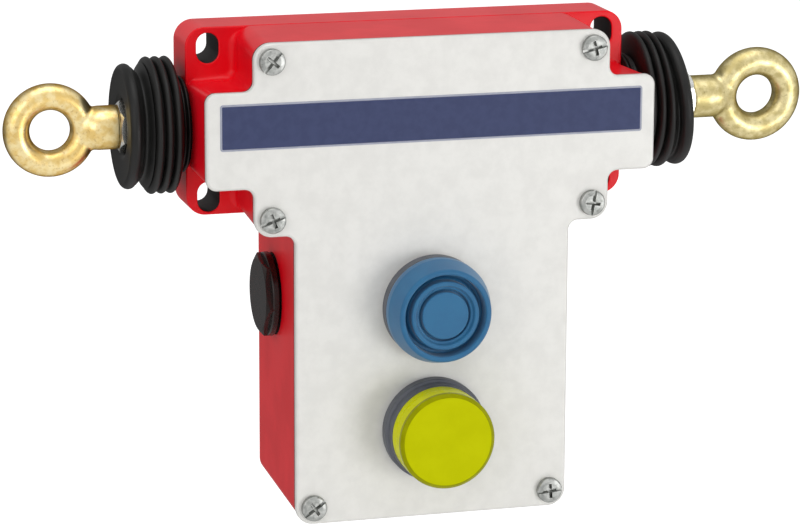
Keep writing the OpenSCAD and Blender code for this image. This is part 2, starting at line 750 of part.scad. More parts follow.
// Moving middle of the reset button: ridge, shallow groove and flat pad
module reset_cap() {
    top = reset_reach - 0.5;
    color("steelblue") head(reset_z, [
        [cap_back, 0], [cap_back, 9.4], [cap_back + 0.6, 9.95], [top - 0.5, 9.95], [top, 9.5], [top, 8.8],
        [top - 0.4, 8.35], [top - 1.2, 8.2], [top - 1.4, 7.6], [top - 1.2, 6.9], [top - 0.3, 6.7], [top, 6.4], [top, 0]
    ]);
}

module reset_plunger() {
    color("white") head(reset_z, [
        [reach_of(plunger_end), 0], [reach_of(plunger_end), rod_r - 3.6],
        [reach_of(plunger_end) + 1.8, rod_r], [reach_of(barrel_end) - 2.6, rod_r],
        [reach_of(barrel_end) - 2.6, 8], [reach_of(barrel_end) - free_gap, 8],
        [reach_of(barrel_end) - free_gap, rod_r], [cap_back - seat_gap, rod_r], [cap_back - seat_gap, 0]
    ]);
}

module reset_spring() {
    low = reach_of(barrel_end - 4) + seat_gap;
    color("lightgray") translate([0, front_y - low, reset_z]) rotate([90, 0, 0])
        coil(rod_r + 1.6, 0.7, cap_back - seat_gap - low, 7);
}

// Ring nut with eight gripping flats behind the cover
module ring_nut(z) {
    thick = 4.6;
    color("darkgray") translate([0, cover_back_y + seat_gap, z]) rotate([-90, 0, 0]) difference() {
        cylinder(r = 14.4, h = thick, $fn = 8);
        translate([0, 0, -past]) cylinder(r = barrel_r + 0.03, h = thick + 2 * past);
    }
}

module reset_nut() { ring_nut(reset_z); }
module pilot_nut() { ring_nut(pilot_z); }

// Grey collar in two steps, with the pilot light's threaded barrel
module pilot_collar() {
    color("dimgray") head(pilot_z, [
        [reach_of(-36), 8.6], [reach_of(-36), barrel_r], [0, barrel_r], [0, collar_r], [2.9, collar_r],
        [3.3, collar_r - 0.4], [3.5, collar_r - 0.9], [6.2, collar_r - 0.9], [6.5, collar_r - 1.4], [6.5, 8.6]
    ]);
}

// Screw-on lens: stepped side, chamfered edge and flat front
module pilot_lens() {
    top = lens_reach;
    color("yellow") head(pilot_z, [
        [6.6, lens_r - 1.6], [6.6, lens_r - 0.2], [7, lens_r], [9.6, lens_r], [9.8, lens_r - 0.35],
        [10.1, lens_r - 0.35], [10.3, lens_r], [top - 1.7, lens_r], [top - 0.8, lens_r - 0.35],
        [top - 0.1, lens_r - 1.4], [top, lens_r - 1.7], [top, 0], [top - 1.6, 0], [top - 1.6, lens_r - 2.6],
        [top - 2.6, lens_r - 1.6]
    ]);
}

// Lamp body with its domed light source and rear terminal box
module pilot_led_block() {
    box_half_w = 9;
    color("whitesmoke") {
        head(pilot_z, [
            [reach_of(-33), 0], [reach_of(-33), 8.4], [3, 8.4], [3, 4.6], [6, 4.6], [7.6, 3.8], [8.8, 2.2], [9.2, 0]
        ]);
        translate([-box_half_w, -35.8, pilot_z - box_half_w]) cube([2 * box_half_w, 12, 2 * box_half_w]);
    }
}

// Hexagon plug with a round flange, screwed into a side entry
module blanking_plug(s) {
    corner = plug_af / 2 / cos(30);
    seal_t = 0.8;
    color("black") translate([s * (seat_x + seal_t + 0.1), -rope_depth, side_entry_z]) rotate([0, s * 90, 0]) {
        rotate_extrude() polygon([[0, 0], [plug_flange_r - 0.3, 0], [plug_flange_r, 0.3],
            [plug_flange_r, 1.3], [plug_flange_r - 0.4, 1.7], [0, 1.7]]);
        rotate(-s * plug_turn) intersection() {
            cylinder(r = corner, h = 5.2, $fn = 6);
            rotate_extrude() polygon([[0, 0], [corner, 0], [corner, 4.4], [corner - 1.4, 5.2], [0, 5.2]]);
        }
        translate([0, 0, -7.5]) cylinder(r = entry_r - 0.1, h = 7.6);
    }
}

module left_blanking_plug() { blanking_plug(-1); }
module right_blanking_plug() { blanking_plug(1); }

module plug_seal(s) {
    color("dimgray") translate([s * (seat_x + 0.05), -rope_depth, side_entry_z]) rotate([0, s * 90, 0])
        difference() {
            cylinder(r = plug_flange_r - 0.6, h = 0.8);
            translate([0, 0, -past]) cylinder(r = entry_r + 0.2, h = 3);
        }
}

module left_plug_seal() { plug_seal(-1); }
module right_plug_seal() { plug_seal(1); }

housing();
cover();
cover_gasket();
cover_screws();
name_band();
left_bellows();
right_bellows();
left_eye();
right_eye();
left_lock_nut();
right_lock_nut();
left_shaft();
right_shaft();
left_guide_bush();
right_guide_bush();
left_spring_cup();
right_spring_cup();
left_pull_spring();
right_pull_spring();
left_contact_block();
right_contact_block();
left_contact_plunger();
right_contact_plunger();
terminal_screws();
chassis_plate();
chassis_screws();
earth_screw();
latch_lever();
latch_pin();
reset_bezel();
reset_boot();
reset_cap();
reset_plunger();
reset_spring();
reset_nut();
pilot_collar();
pilot_lens();
pilot_led_block();
pilot_nut();
left_blanking_plug();
right_blanking_plug();
left_plug_seal();
right_plug_seal();
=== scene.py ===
"""Looks of the rope pull switch: its casting, cover, bellows, eyes and heads, dressed.

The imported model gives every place. Each class below is one sub-assembly: its fields
are its sizes in metres, and its methods build its meshes and put them on their bodies.
"""

import json  # noqa: E402
import logging  # noqa: E402
import math  # noqa: E402
from dataclasses import dataclass, field  # noqa: E402
from enum import Enum  # noqa: E402
from typing import Any, Callable, Sequence  # noqa: E402

import bmesh  # noqa: E402
import bpy  # noqa: E402
import numpy as np  # noqa: E402
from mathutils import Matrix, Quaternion, Vector  # noqa: E402
from mathutils.geometry import delaunay_2d_cdt  # noqa: E402

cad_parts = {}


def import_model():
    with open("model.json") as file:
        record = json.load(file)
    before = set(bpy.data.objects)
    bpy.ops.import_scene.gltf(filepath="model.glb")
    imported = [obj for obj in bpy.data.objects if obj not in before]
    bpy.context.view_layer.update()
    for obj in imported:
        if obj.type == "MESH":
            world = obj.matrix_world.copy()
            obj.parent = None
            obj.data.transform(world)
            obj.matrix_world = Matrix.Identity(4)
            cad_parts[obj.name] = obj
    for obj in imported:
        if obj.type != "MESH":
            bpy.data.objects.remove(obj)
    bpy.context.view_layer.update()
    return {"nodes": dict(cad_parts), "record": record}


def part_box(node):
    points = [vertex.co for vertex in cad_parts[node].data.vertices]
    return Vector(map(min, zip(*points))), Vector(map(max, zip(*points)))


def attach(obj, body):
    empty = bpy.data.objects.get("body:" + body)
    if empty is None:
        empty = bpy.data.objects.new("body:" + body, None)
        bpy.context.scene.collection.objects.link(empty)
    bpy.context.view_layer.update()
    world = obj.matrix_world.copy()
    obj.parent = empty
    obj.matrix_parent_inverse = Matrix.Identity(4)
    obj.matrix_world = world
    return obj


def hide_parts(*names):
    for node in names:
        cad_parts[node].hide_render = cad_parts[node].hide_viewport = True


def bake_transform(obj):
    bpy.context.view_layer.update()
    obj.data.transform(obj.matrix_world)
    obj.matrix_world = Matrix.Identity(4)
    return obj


LOG = logging.getLogger("switch")
MM = 0.001
Point = tuple[float, float]
Corner = tuple[float, float, float]
Mesh = tuple[np.ndarray, list[tuple[int, ...]]]
LoopAt = Callable[[float], list[Point]]

# Vertices nearer than this are one.
WELD = 1e-6
# Share of the shorter neighbour that a rounded corner may use, and where its support points stand.
CORNER_ROOM = 0.49
CORNER_SUPPORT = 1.06
# Radius of a nut's turned face, as a share of half its width across flats.
TURNED_FACE = 0.985
# Faces whose normals agree better than this lie in one plane.
COPLANAR = 0.9999
# Faces round a turned head, and the angle in degrees above which its steps stay sharp.
HEAD_SECTORS = 128
STEP_ANGLE = 50
# Distance between the bands of a wave texture at a scale of 1.
WAVE_BAND = 0.32
WHITE = (1, 1, 1, 1)


class Side(Enum):
    """The two ends of the rope axis."""

    LEFT = -1
    RIGHT = 1

    @property
    def word(self) -> str:
        """The side's word in node and body names."""
        return self.name.lower()


class Pattern(Enum):
    """How a finish varies over its surface."""

    CLOUDY = "soft clouds"
    SPECKLED = "small spots over soft clouds"
    TURNED = "fine rings left by the lathe"


# ---------------------------------------------------------------------------
# Finishes
# ---------------------------------------------------------------------------


def linear(code: str) -> tuple[float, float, float, float]:
    """Turns an sRGB hex colour into the linear one that sockets take.

    Args:
        code: Six hex digits.

    Returns:
        Red, green, blue and an alpha of 1.
    """
    parts = [int(code[i : i + 2], 16) / 255 for i in (0, 2, 4)]
    values = [c / 12.92 if c <= 0.04045 else ((c + 0.055) / 1.055) ** 2.4 for c in parts]
    return (values[0], values[1], values[2], 1.0)


def add_node(tree: bpy.types.NodeTree, kind: str, settings: dict[str, Any], links: dict[Any, Any]) -> Any:
    """Adds a node with its settings and its links.

    Args:
        tree: The tree that gets the node.
        kind: The node's type name.
        settings: Values by attribute name, or by input socket name or index.
        links: Output sockets by the input socket's name or index.

    Returns:
        The new node.
    """
    node = tree.nodes.new(kind)
    for key, value in settings.items():
        if isinstance(key, str) and hasattr(node, key):
            setattr(node, key, value)
        else:
            node.inputs[key].default_value = value
    for key, source in links.items():
        tree.links.new(source, node.inputs[key])
    return node


def empty_tree(owner: bpy.types.ID) -> bpy.types.NodeTree:
    """Gives a material or a world its node tree, with nothing in it."""
    owner.use_nodes = True
    owner.node_tree.nodes.clear()
    return owner.node_tree


@dataclass(frozen=True)
class Finish:
    """A surface finish: its colours, its gloss and the marks that its making left."""

    name: str
    slot: str
    base: str
    second: str
    pattern: Pattern = Pattern.CLOUDY
    cloud_mm: float = 3.0
    cloud_share: tuple[float, float] = (0.35, 0.65)
    grain_mm: float = 0.8
    grain_um: float = 3.0
    roughness: tuple[float, float] = (0.26, 0.34)
    metallic: float = 0.0
    ior: float = 1.53
    glint: str = "FFFFFF"
    subsurface: float = 0.0
    subsurface_mm: float = 1.0
    sheen: float = 0.0
    spot: str = "000000"
    spot_mm: float = 0.9
    spot_share: tuple[float, float] = (0.54, 0.8)
    spot_strength: float = 0.5

    def material(self) -> bpy.types.Material:
        """Builds the finish as a material, or returns the one already built.

        Returns:
            The material.
        """
        made = bpy.data.materials.get(self.name)
        if made:
            return made
        made = bpy.data.materials.new(self.name)
        tree = empty_tree(made)
        place = add_node(tree, "ShaderNodeTexCoord", {}, {}).outputs["Object"]
        colour, rough, height = self.surface(tree, place)
        bump = add_node(
            tree, "ShaderNodeBump", {"Strength": 1.0, "Distance": self.grain_um * 1e-6}, {"Height": height}
        )
        shader = add_node(
            tree,
            "ShaderNodeBsdfPrincipled",
            {
                "Metallic": self.metallic,
                "Subsurface Weight": self.subsurface,
                "Sheen Weight": self.sheen,
                "Specular Tint": linear(self.glint),
            },
            {"Base Color": colour, "Roughness": rough, "Normal": bump.outputs["Normal"]},
        )
        if not self.metallic:
            shader.inputs["IOR"].default_value = self.ior
        if self.subsurface:
            shader.inputs["Subsurface Radius"].default_value = (1.0, 1.0, 0.6)
            shader.inputs["Subsurface Scale"].default_value = self.subsurface_mm * MM
        add_node(tree, "ShaderNodeOutputMaterial", {}, {"Surface": shader.outputs["BSDF"]})
        return made

    def surface(self, tree: bpy.types.NodeTree, place: Any) -> tuple[Any, Any, Any]:
        """Adds the pattern's nodes.

        Args:
            tree: The material's tree.
            place: The object coordinates' socket.

        Returns:
            The sockets of colour, roughness and bump height.
        """
        clouds = self.noise(tree, place, self.cloud_mm, 4.0)
        share = self.ramp(tree, clouds, self.cloud_share)
        colour = self.blend(tree, share, linear(self.base), linear(self.second))
        if self.pattern is Pattern.SPECKLED:
            spots = self.ramp(tree, self.noise(tree, place, self.spot_mm, 3.0), self.spot_share)
            amount = add_node(
                tree, "ShaderNodeMath", {"operation": "MULTIPLY", 1: self.spot_strength}, {0: spots}
            ).outputs[0]
            colour = self.blend(tree, amount, colour, linear(self.spot))
        rough = add_node(
            tree,
            "ShaderNodeMapRange",
            {"To Min": self.roughness[0], "To Max": self.roughness[1]},
            {"Value": clouds},
        ).outputs["Result"]
        if self.pattern is Pattern.TURNED:
            height = add_node(
                tree,
                "ShaderNodeTexWave",
                {
                    "wave_type": "BANDS", "bands_direction": "X", "Distortion": 0.4,
                    "Scale": WAVE_BAND / (self.grain_mm * MM),
                },
                {"Vector": place},
            ).outputs["Fac"]
        else:
            height = self.noise(tree, place, self.grain_mm, 2.0)
        return colour, rough, height

    def noise(self, tree: bpy.types.NodeTree, place: Any, size_mm: float, detail: float) -> Any:
        """Adds a noise whose blotches are about size_mm across, and returns its socket."""
        return add_node(
            tree,
            "ShaderNodeTexNoise",
            {"Scale": 1 / (size_mm * MM), "Detail": detail, "Roughness": 0.55},
            {"Vector": place},
        ).outputs["Fac"]

    def ramp(self, tree: bpy.types.NodeTree, value: Any, limits: tuple[float, float]) -> Any:
        """Adds a map from the two limits to 0 and 1, and returns its socket."""
        return add_node(
            tree,
            "ShaderNodeMapRange",
            {"From Min": limits[0], "From Max": limits[1], "interpolation_type": "SMOOTHSTEP"},
            {"Value": value},
        ).outputs["Result"]

    def blend(self, tree: bpy.types.NodeTree, share: Any, first: Any, second: Any) -> Any:
        """Adds a mix of two colours, each a value or a socket, and returns its socket.

        Args:
            tree: The material's tree.
            share: The socket of the second colour's share.
            first: The first colour.
            second: The second colour.

        Returns:
            The mixed colour's socket.
        """
        node = add_node(tree, "ShaderNodeMix", {"data_type": "RGBA"}, {0: share})
        for index, colour in ((6, first), (7, second)):
            if isinstance(colour, tuple):
                node.inputs[index].default_value = colour
            else:
                tree.links.new(colour, node.inputs[index])
        return node.outputs[2]


# Stoved enamel on a zinc die casting: deep and even, with a soft gloss and a trace of orange peel.
RED_ENAMEL = Finish(
    "stoved_red_enamel", "red_enamel", "EE0A1E", "E2071B", cloud_mm=18, grain_mm=1.6, grain_um=5, ior=1.38,
    glint="FFD9D9",
)
# Rolled plate under a thin satin coat: pale, with faint clouds from the rolling.
COVER_STEEL = Finish(
    "satin_stainless_plate", "cover_steel", "DFDEDA", "D9D8D4", cloud_mm=4, cloud_share=(0.3, 0.7),
    grain_um=2, roughness=(0.46, 0.56), metallic=0.2,
)
# Moulded neoprene: nearly black, with a faint oily sheen along the folds.
BELLOWS_RUBBER = Finish(
    "moulded_neoprene", "bellows_rubber", "0E0E0D", "141413", cloud_mm=7, grain_mm=0.5, grain_um=6,
    roughness=(0.42, 0.52), ior=1.36,
)
# Cut neoprene sheet and moulded seals: the same black, flatter.
SEAL_RUBBER = Finish(
    "cut_neoprene_sheet", "black_rubber", "191918", "232321", cloud_mm=4, grain_mm=0.6, grain_um=8,
    roughness=(0.62, 0.75), ior=1.52,
)
# Zinc-plated steel, drum plated: dull grey with darker patches where it was handled.
ZINC_PLATE = Finish(
    "drum_zinc_plate", "zinc_steel", "AAABA8", "8D8F8C", Pattern.SPECKLED, cloud_mm=1.6, grain_mm=0.5,
    grain_um=6, roughness=(0.34, 0.5), metallic=1.0, spot="5C5C58", spot_mm=1.1, spot_share=(0.55, 0.72),
    spot_strength=0.45,
)
# Zinc-plated nut, bright from the bath.
BRIGHT_ZINC = Finish(
    "bright_zinc_plate", "zinc_steel", "EDEEEB", "D5D6D3", cloud_mm=1.6, grain_mm=0.5, grain_um=4,
    roughness=(0.2, 0.32), metallic=1.0,
)
# Forged steel, yellow chromated: golden, with brown speckle where the coat is thin or pitted.
YELLOW_CHROMATE = Finish(
    "yellow_chromated_forging", "passivated_steel", "EAD7A2", "DABB74", Pattern.SPECKLED, grain_um=16,
    roughness=(0.26, 0.4), metallic=1.0, spot="8A5A1E", glint="B07C38",
)
# The same forging stock, paler and greener than the left eye's.
OLIVE_CHROMATE = Finish(
    "olive_chromated_forging", "passivated_steel", "DBCE9D", "B9AA74", Pattern.SPECKLED, grain_um=18,
    roughness=(0.32, 0.46), metallic=1.0, spot="6E5E34", glint="857848",
)
# Free-cutting steel, turned: bright with fine rings.
TURNED_STEEL = Finish(
    "turned_steel", "shaft_steel", "B9BABB", "A6A8A9", Pattern.TURNED, grain_mm=0.35, metallic=1.0,
)
# Brass bar, turned: warm yellow with fine rings.
TURNED_BRASS = Finish(
    "turned_brass", "bush_brass", "D8B46A", "C79F52", Pattern.TURNED, grain_mm=0.35, roughness=(0.26, 0.36),
    metallic=1.0,
)
# Drawn spring wire: darker steel with a drawn, slightly oily skin.
SPRING_WIRE = Finish(
    "drawn_spring_wire", "spring_steel", "9A9B9C", "858687", cloud_mm=1.5, grain_mm=0.3, grain_um=2,
    roughness=(0.28, 0.38), metallic=1.0,
)
# Polyamide with glass fibre, moulded: black, with a fine satin skin.
DARK_NYLON = Finish(
    "moulded_black_nylon", "dark_plastic", "202124", "292A2E", cloud_mm=5, grain_mm=0.5, grain_um=5,
    roughness=(0.42, 0.55),
)
# Acetal, moulded: waxy ivory that lets a little light in.
IVORY_ACETAL = Finish(
    "moulded_ivory_acetal", "pale_plastic", "E6E1D3", "DDD7C6", cloud_mm=5, grain_mm=0.6,
    roughness=(0.32, 0.42), ior=1.48, subsurface=0.1,
)
# Polyamide collar, moulded and spark-eroded: dark grey satin.
GREY_NYLON = Finish(
    "moulded_grey_nylon", "collar_plastic", "4A4D55", "555860", cloud_mm=4, grain_mm=0.5, grain_um=7,
    roughness=(0.42, 0.52),
)
# Silicone rubber, moulded: even mid blue, soft sheen, light spreading just under the skin.
BLUE_SILICONE = Finish(
    "moulded_blue_silicone", "blue_silicone", "1A608B", "1F6792", cloud_mm=8, grain_mm=0.7, grain_um=5,
    roughness=(0.46, 0.54), ior=1.41, subsurface=0.12, subsurface_mm=0.6, sheen=0.2,
)
# Glass-filled polyamide plug, moulded: brown black with a skin that shines on its facets.
PLUG_NYLON = Finish(
    "moulded_brown_black_nylon", "plug_plastic", "1A1110", "221614", cloud_mm=5, grain_mm=0.6, grain_um=5,
    roughness=(0.22, 0.32), ior=1.37,
)
# Printed band: blue screen ink, slightly cloudy where it lies on the satin plate.
BLUE_INK = Finish(
    "screen_printed_blue_ink", "blue_print", "363E61", "3B4367", roughness=(0.45, 0.55), ior=1.32,
)
# Clear film at the band's edge, where the ink stops short: the plate shows greyish through it.
CLEAR_MARGIN = Finish(
    "clear_film_margin", "blue_print", "A3A6B6", "989CAC", roughness=(0.35, 0.45), ior=1.5,
)
# Polycarbonate lens, moulded: strong yellow green and glossy.
YELLOW_LENS = Finish(
    "moulded_yellow_polycarbonate", "lens_yellow", "C2C508", "BCBF05", cloud_mm=9, grain_mm=1.2,
    roughness=(0.2, 0.26), ior=1.3, glint="FFFF40",
)
# Painted shading: the lens colour retuned for its side wall, a deeper yellow with weak reflections.
LENS_WALL_SHADING = Finish(
    "moulded_yellow_polycarbonate_wall", "lens_yellow", "D6D800", "CCCE00", cloud_mm=5, grain_mm=1.2,
    roughness=(0.24, 0.3), ior=1.12, glint="FFFF40",
)
# Painted shade: the same lens in a darker olive on its rounded edge ring.
LENS_EDGE_SHADE = Finish(
    "moulded_yellow_polycarbonate_edge", "lens_yellow", "969800", "8B8D00", cloud_mm=5, grain_mm=1.2,
    roughness=(0.2, 0.28), ior=1.3, glint="FFFF60",
)
# Painted shade: a nearly black finish on the slot walls, standing in for the shade inside the slots.
PAINTED_SLOT_SHADE = Finish(
    "masked_bare_zinc", "red_enamel", "1E1213", "2A1A1A", grain_mm=0.6, grain_um=8, roughness=(0.5, 0.62),
    ior=1.4,
)

# What dresses the CAD nodes, one finish for each slot of the record.
FINISHES = (
    RED_ENAMEL, COVER_STEEL, BELLOWS_RUBBER, SEAL_RUBBER, ZINC_PLATE, YELLOW_CHROMATE, TURNED_STEEL,
    TURNED_BRASS, SPRING_WIRE, DARK_NYLON, IVORY_ACETAL, GREY_NYLON, BLUE_SILICONE, PLUG_NYLON, BLUE_INK,
    YELLOW_LENS,
)


# ---------------------------------------------------------------------------
# Meshes
# ---------------------------------------------------------------------------


def linked(name: str, data: bpy.types.ID) -> bpy.types.Object:
    """Makes an object of a mesh, a lamp or a camera, and links it to the scene."""
    made = bpy.data.objects.new(name, data)
    bpy.context.scene.collection.objects.link(made)
    return made


def mm(*corners: Sequence[float]) -> list[tuple[float, ...]]:
    """Turns corners written in millimetres into metres."""
    return [tuple(value * MM for value in corner) for corner in corners]


def new_object(
    name: str, points: np.ndarray | Sequence[Any], faces: Sequence[Sequence[int]], finish: Finish
) -> bpy.types.Object:
    """Makes a smooth-shaded mesh object at the origin, with its faces turned outwards.

    Args:
        name: The piece's name.
        points: Vertex places in the row frame.
        faces: Vertex numbers of each face.
        finish: What the piece is finished in.

    Returns:
        The object, linked to the scene.
    """
    mesh = bpy.data.meshes.new(name)
    mesh.from_pydata([tuple(p) for p in points], [], [tuple(f) for f in faces])
    work = bmesh.new()
    work.from_mesh(mesh)
    bmesh.ops.remove_doubles(work, verts=work.verts, dist=WELD)
    bmesh.ops.recalc_face_normals(work, faces=work.faces)
    work.to_mesh(mesh)
    work.free()
    mesh.shade_smooth()
    mesh.materials.append(finish.material())
    return linked(name, mesh)


def place_piece(piece: bpy.types.Object, body: str, finish: Finish, *nodes: str) -> None:
    """Puts a finished piece on its body, in place of the CAD nodes it stands for.

    Args:
        piece: The finished object.
        body: The CAD body that carries it.
        finish: The finish whose name is reported.
        nodes: CAD nodes that it replaces.
    """
    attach(piece, body)
    finish_piece(piece, finish, *nodes)


def finish_piece(piece: bpy.types.Object, finish: Finish, *nodes: str) -> None:
    """Hides the CAD nodes that the piece stands for, and reports the piece.

    Args:
        piece: The finished object.
        finish: The finish whose name it reports.
        nodes: CAD nodes that it replaces.
    """
    if nodes:
        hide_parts(*nodes)
    LOG.info("%s: %d faces in %s", piece.name, len(piece.data.polygons), finish.name)


def rounded(corners: Sequence[Corner], steps: int = 6) -> list[Point]:
    """Rounds the corners of an open outline.

    Args:
        corners: Distance, radius and rounding of each corner. The ends stay sharp.
        steps: Segments of each arc.

    Returns:
        The outline's points, with a support point close before and after each arc.
    """
    made: list[Point] = [corners[0][:2]]
    for before, here, after in zip(corners, corners[1:], corners[2:]):
        corner, first, second = (np.array(p[:2], float) for p in (here, before, after))
        if here[2] <= 0:
            made.append((float(corner[0]), float(corner[1])))
            continue
        one, two = (first - corner), (second - corner)
        room = min(np.linalg.norm(one), np.linalg.norm(two))
        one, two = one / np.linalg.norm(one), two / np.linalg.norm(two)
        half = math.acos(float(np.clip(one @ two, -1, 1))) / 2
        reach = min(here[2] / math.tan(half), room * CORNER_ROOM)
        radius = reach * math.tan(half)
        centre = corner + (one + two) / np.linalg.norm(one + two) * radius / math.sin(half)
        start, end = corner + one * reach - centre, corner + two * reach - centre
        turn = math.pi - 2 * half
        made.append(tuple(float(v) for v in corner + one * reach * CORNER_SUPPORT))
        for i in range(steps + 1):
            t = i / steps
            arm = (math.sin((1 - t) * turn) * start + math.sin(t * turn) * end) / math.sin(turn)
            made.append(tuple(float(v) for v in centre + arm))
        made.append(tuple(float(v) for v in corner + two * reach * CORNER_SUPPORT))
    made.append(corners[-1][:2])
    return made


@dataclass(frozen=True)
class Axis:
    """An axis that shapes are turned about: a point on it and its direction."""

    origin: Vector
    along: Vector

    def across(self) -> tuple[Vector, Vector]:
        """Two directions square to the axis and to each other."""
        first = Vector((0, 0, 1)) if abs(self.along.z) < 0.9 else Vector((1, 0, 0))
        first = (first - self.along * first.dot(self.along)).normalized()
        return first, self.along.cross(first)

    def turn(self, outline: Sequence[Point], sectors: int = 96) -> Mesh:
        """Turns an outline about the axis.

        Args:
            outline: Distance along the axis and radius of each point. It starts and ends on
                the axis, or closes on itself.
            sectors: Faces round the axis.

        Returns:
            The points and the faces.
        """
        first, second = (np.array(v) for v in self.across())
        origin, along = np.array(self.origin), np.array(self.along)
        angles = np.arange(sectors) * 2 * math.pi / sectors
        ring = np.outer(np.cos(angles), first) + np.outer(np.sin(angles), second)
        points: list[np.ndarray] = []
        rows: list[list[int]] = []
        for s, r in outline:
            start = len(points)
            if r < 1e-7:
                points.append(origin + along * s)
                rows.append([start] * sectors)
            else:
                points.extend(origin + along * s + ring * r)
                rows.append(list(range(start, start + sectors)))
        faces: list[tuple[int, ...]] = []
        for low, high in zip(rows, rows[1:]):
            for i in range(sectors):
                j = (i + 1) % sectors
                corners = (low[i], low[j], high[j], high[i])
                unique = tuple(dict.fromkeys(corners))
                if len(unique) > 2:
                    faces.append(unique)
        return np.array(points), faces


def bake(made: bpy.types.Object) -> bpy.types.Object:
    """Makes an object's evaluated shape its own mesh and removes its modifiers.

    Args:
        made: The object.

    Returns:
        The same object.
    """
    bpy.context.view_layer.update()
    graph = bpy.context.evaluated_depsgraph_get()
    shape = made.evaluated_get(graph)
    mesh = bpy.data.meshes.new_from_object(shape, preserve_all_data_layers=True, depsgraph=graph)
    old = made.data
    made.modifiers.clear()
    made.data = mesh
    mesh.name = made.name
    if old.users == 0:
        bpy.data.meshes.remove(old)
    return made


def fill_flat(
    points: Sequence[Any], outer: Sequence[int], holes: Sequence[Sequence[int]] = ()
) -> list[tuple[int, ...]]:
    """Fills a flat face that lies square to the depth axis, around its holes.

    Args:
        points: All the points of the piece.
        outer: Numbers of the outer loop's points, in order.
        holes: Numbers of each convex hole's points, in order.

    Returns:
        The triangles.
    """
    numbers = list(outer)
    edges = [(i, (i + 1) % len(outer)) for i in range(len(outer))]
    rings: list[list[Vector]] = []
    for hole in holes:
        start = len(numbers)
        numbers.extend(hole)
        edges.extend((start + i, start + (i + 1) % len(hole)) for i in range(len(hole)))
        rings.append([Vector((points[n][0], points[n][2])) for n in hole])
    flat = [Vector((points[n][0], points[n][2])) for n in numbers]
    made = delaunay_2d_cdt(flat, edges, [], 1, 1e-9)
    triangles = []
    for face in made[2]:
        middle = sum((made[0][i] for i in face), Vector((0, 0))) / len(face)
        if not any(inside(middle, ring) for ring in rings):
            triangles.append(tuple(numbers[made[3][i][0]] for i in face))
    return triangles


def inside(point: Vector, ring: Sequence[Vector]) -> bool:
    """Says whether a flat point lies within a convex ring of points."""
    turns = [(b - a).cross(point - a) for a, b in zip(ring, list(ring[1:]) + [ring[0]])]
    return all(t > 0 for t in turns) or all(t < 0 for t in turns)


def walls(rows: Sequence[Sequence[int]]) -> list[tuple[int, ...]]:
    """The faces between closed rows of point numbers, each row as long as the next."""
    return [
        (low[i], low[(i + 1) % len(low)], high[(i + 1) % len(low)], high[i])
        for low, high in zip(rows, rows[1:])
        for i in range(len(low))
    ]


class Shell:
    """A mesh in the making: closed rows of points at chosen depths, joined by walls."""

    def __init__(self) -> None:
        """Starts with no points and no faces."""
        self.points: list[tuple[float, float, float]] = []
        self.faces: list[tuple[int, ...]] = []

    def row(self, loop: Sequence[Point], y: float) -> list[int]:
        """Adds a loop of x and z at a depth, and returns its points' numbers."""
        start = len(self.points)
        self.points.extend((x, y, z) for x, z in loop)
        return list(range(start, start + len(loop)))

    def slab(
        self, loop_at: LoopAt, rows: Sequence[Point],
        holes: Sequence[tuple[LoopAt, Sequence[Point]]] = (),
    ) -> None:
        """Adds a closed slab with holes through it.

        Args:
            loop_at: The outer loop for an inset.
            rows: Depth and inset of each row, from the back face to the front face.
            holes: For each hole its loop for an inset, and its rows from back to front.
        """
        outer = [self.row(loop_at(inset), y) for y, inset in rows]
        inner = [[self.row(loop(inset), y) for y, inset in steps] for loop, steps in holes]
        self.faces += walls(outer)
        for lined in inner:
            self.faces += walls(lined)
        for end in (0, -1):
            self.faces += fill_flat(self.points, outer[end], [lined[end] for lined in inner])


def arc_rows(face: float, side: float, radius: float, steps: int = 6) -> list[Point]:
    """Depth and inset of the rows that round an edge.

    Args:
        face: Depth of the flat face, where the rows end.
        side: 1 where the piece's side lies at greater depths, else -1.
        radius: Radius of the edge.
        steps: Segments of the arc.

    Returns:
        The rows, from the side to the face.
    """
    angles = [math.radians(90 * i / steps) for i in range(steps + 1)]
    return [(face + side * radius * (1 - math.sin(a)), radius * (1 - math.cos(a))) for a in angles]


def circle_loop(x: float, z: float, radius: float, sectors: int = 64) -> list[Point]:
    """A circle as a loop of x and z."""
    angles = [2 * math.pi * i / sectors for i in range(sectors)]
    return [(x + radius * math.cos(a), z + radius * math.sin(a)) for a in angles]


def round_box(
    low: Point, high: Point, radius: float, inset: float = 0.0, steps: int = 8
) -> list[Point]:
    """A rectangle with round corners as a loop of x and z.

    Args:
        low: Least x and z.
        high: Greatest x and z.
        radius: Radius of the corners before the inset.
        inset: How far the loop is drawn in.
        steps: Segments of each corner.

    Returns:
        The loop's points, counter-clockwise as seen from the front.
    """
    room = min(high[0] - low[0], high[1] - low[1]) / 2
    r = max(min(radius, room - 0.04 * MM) - inset, 0.02 * MM)
    x0, z0, x1, z1 = low[0] + inset + r, low[1] + inset + r, high[0] - inset - r, high[1] - inset - r
    loop = []
    for cx, cz, start in ((x1, z1, 0), (x0, z1, 90), (x0, z0, 180), (x1, z0, 270)):
        for i in range(steps + 1):
            a = math.radians(start + 90 * i / steps)
            loop.append((cx + r * math.cos(a), cz + r * math.sin(a)))
    return loop


def combine(made: bpy.types.Object, others: Sequence[bpy.types.Object], operation: str) -> None:
    """Joins tools to an object, or cuts them out of it, and deletes the tools.

    Args:
        made: The object that is kept.
        others: Closed tool objects.
        operation: UNION or DIFFERENCE.
    """
    for other in others:
        step = made.modifiers.new("step", "BOOLEAN")
        step.operation, step.object, step.solver = operation, other, "MANIFOLD"
        bake(made)
        bpy.data.objects.remove(other)


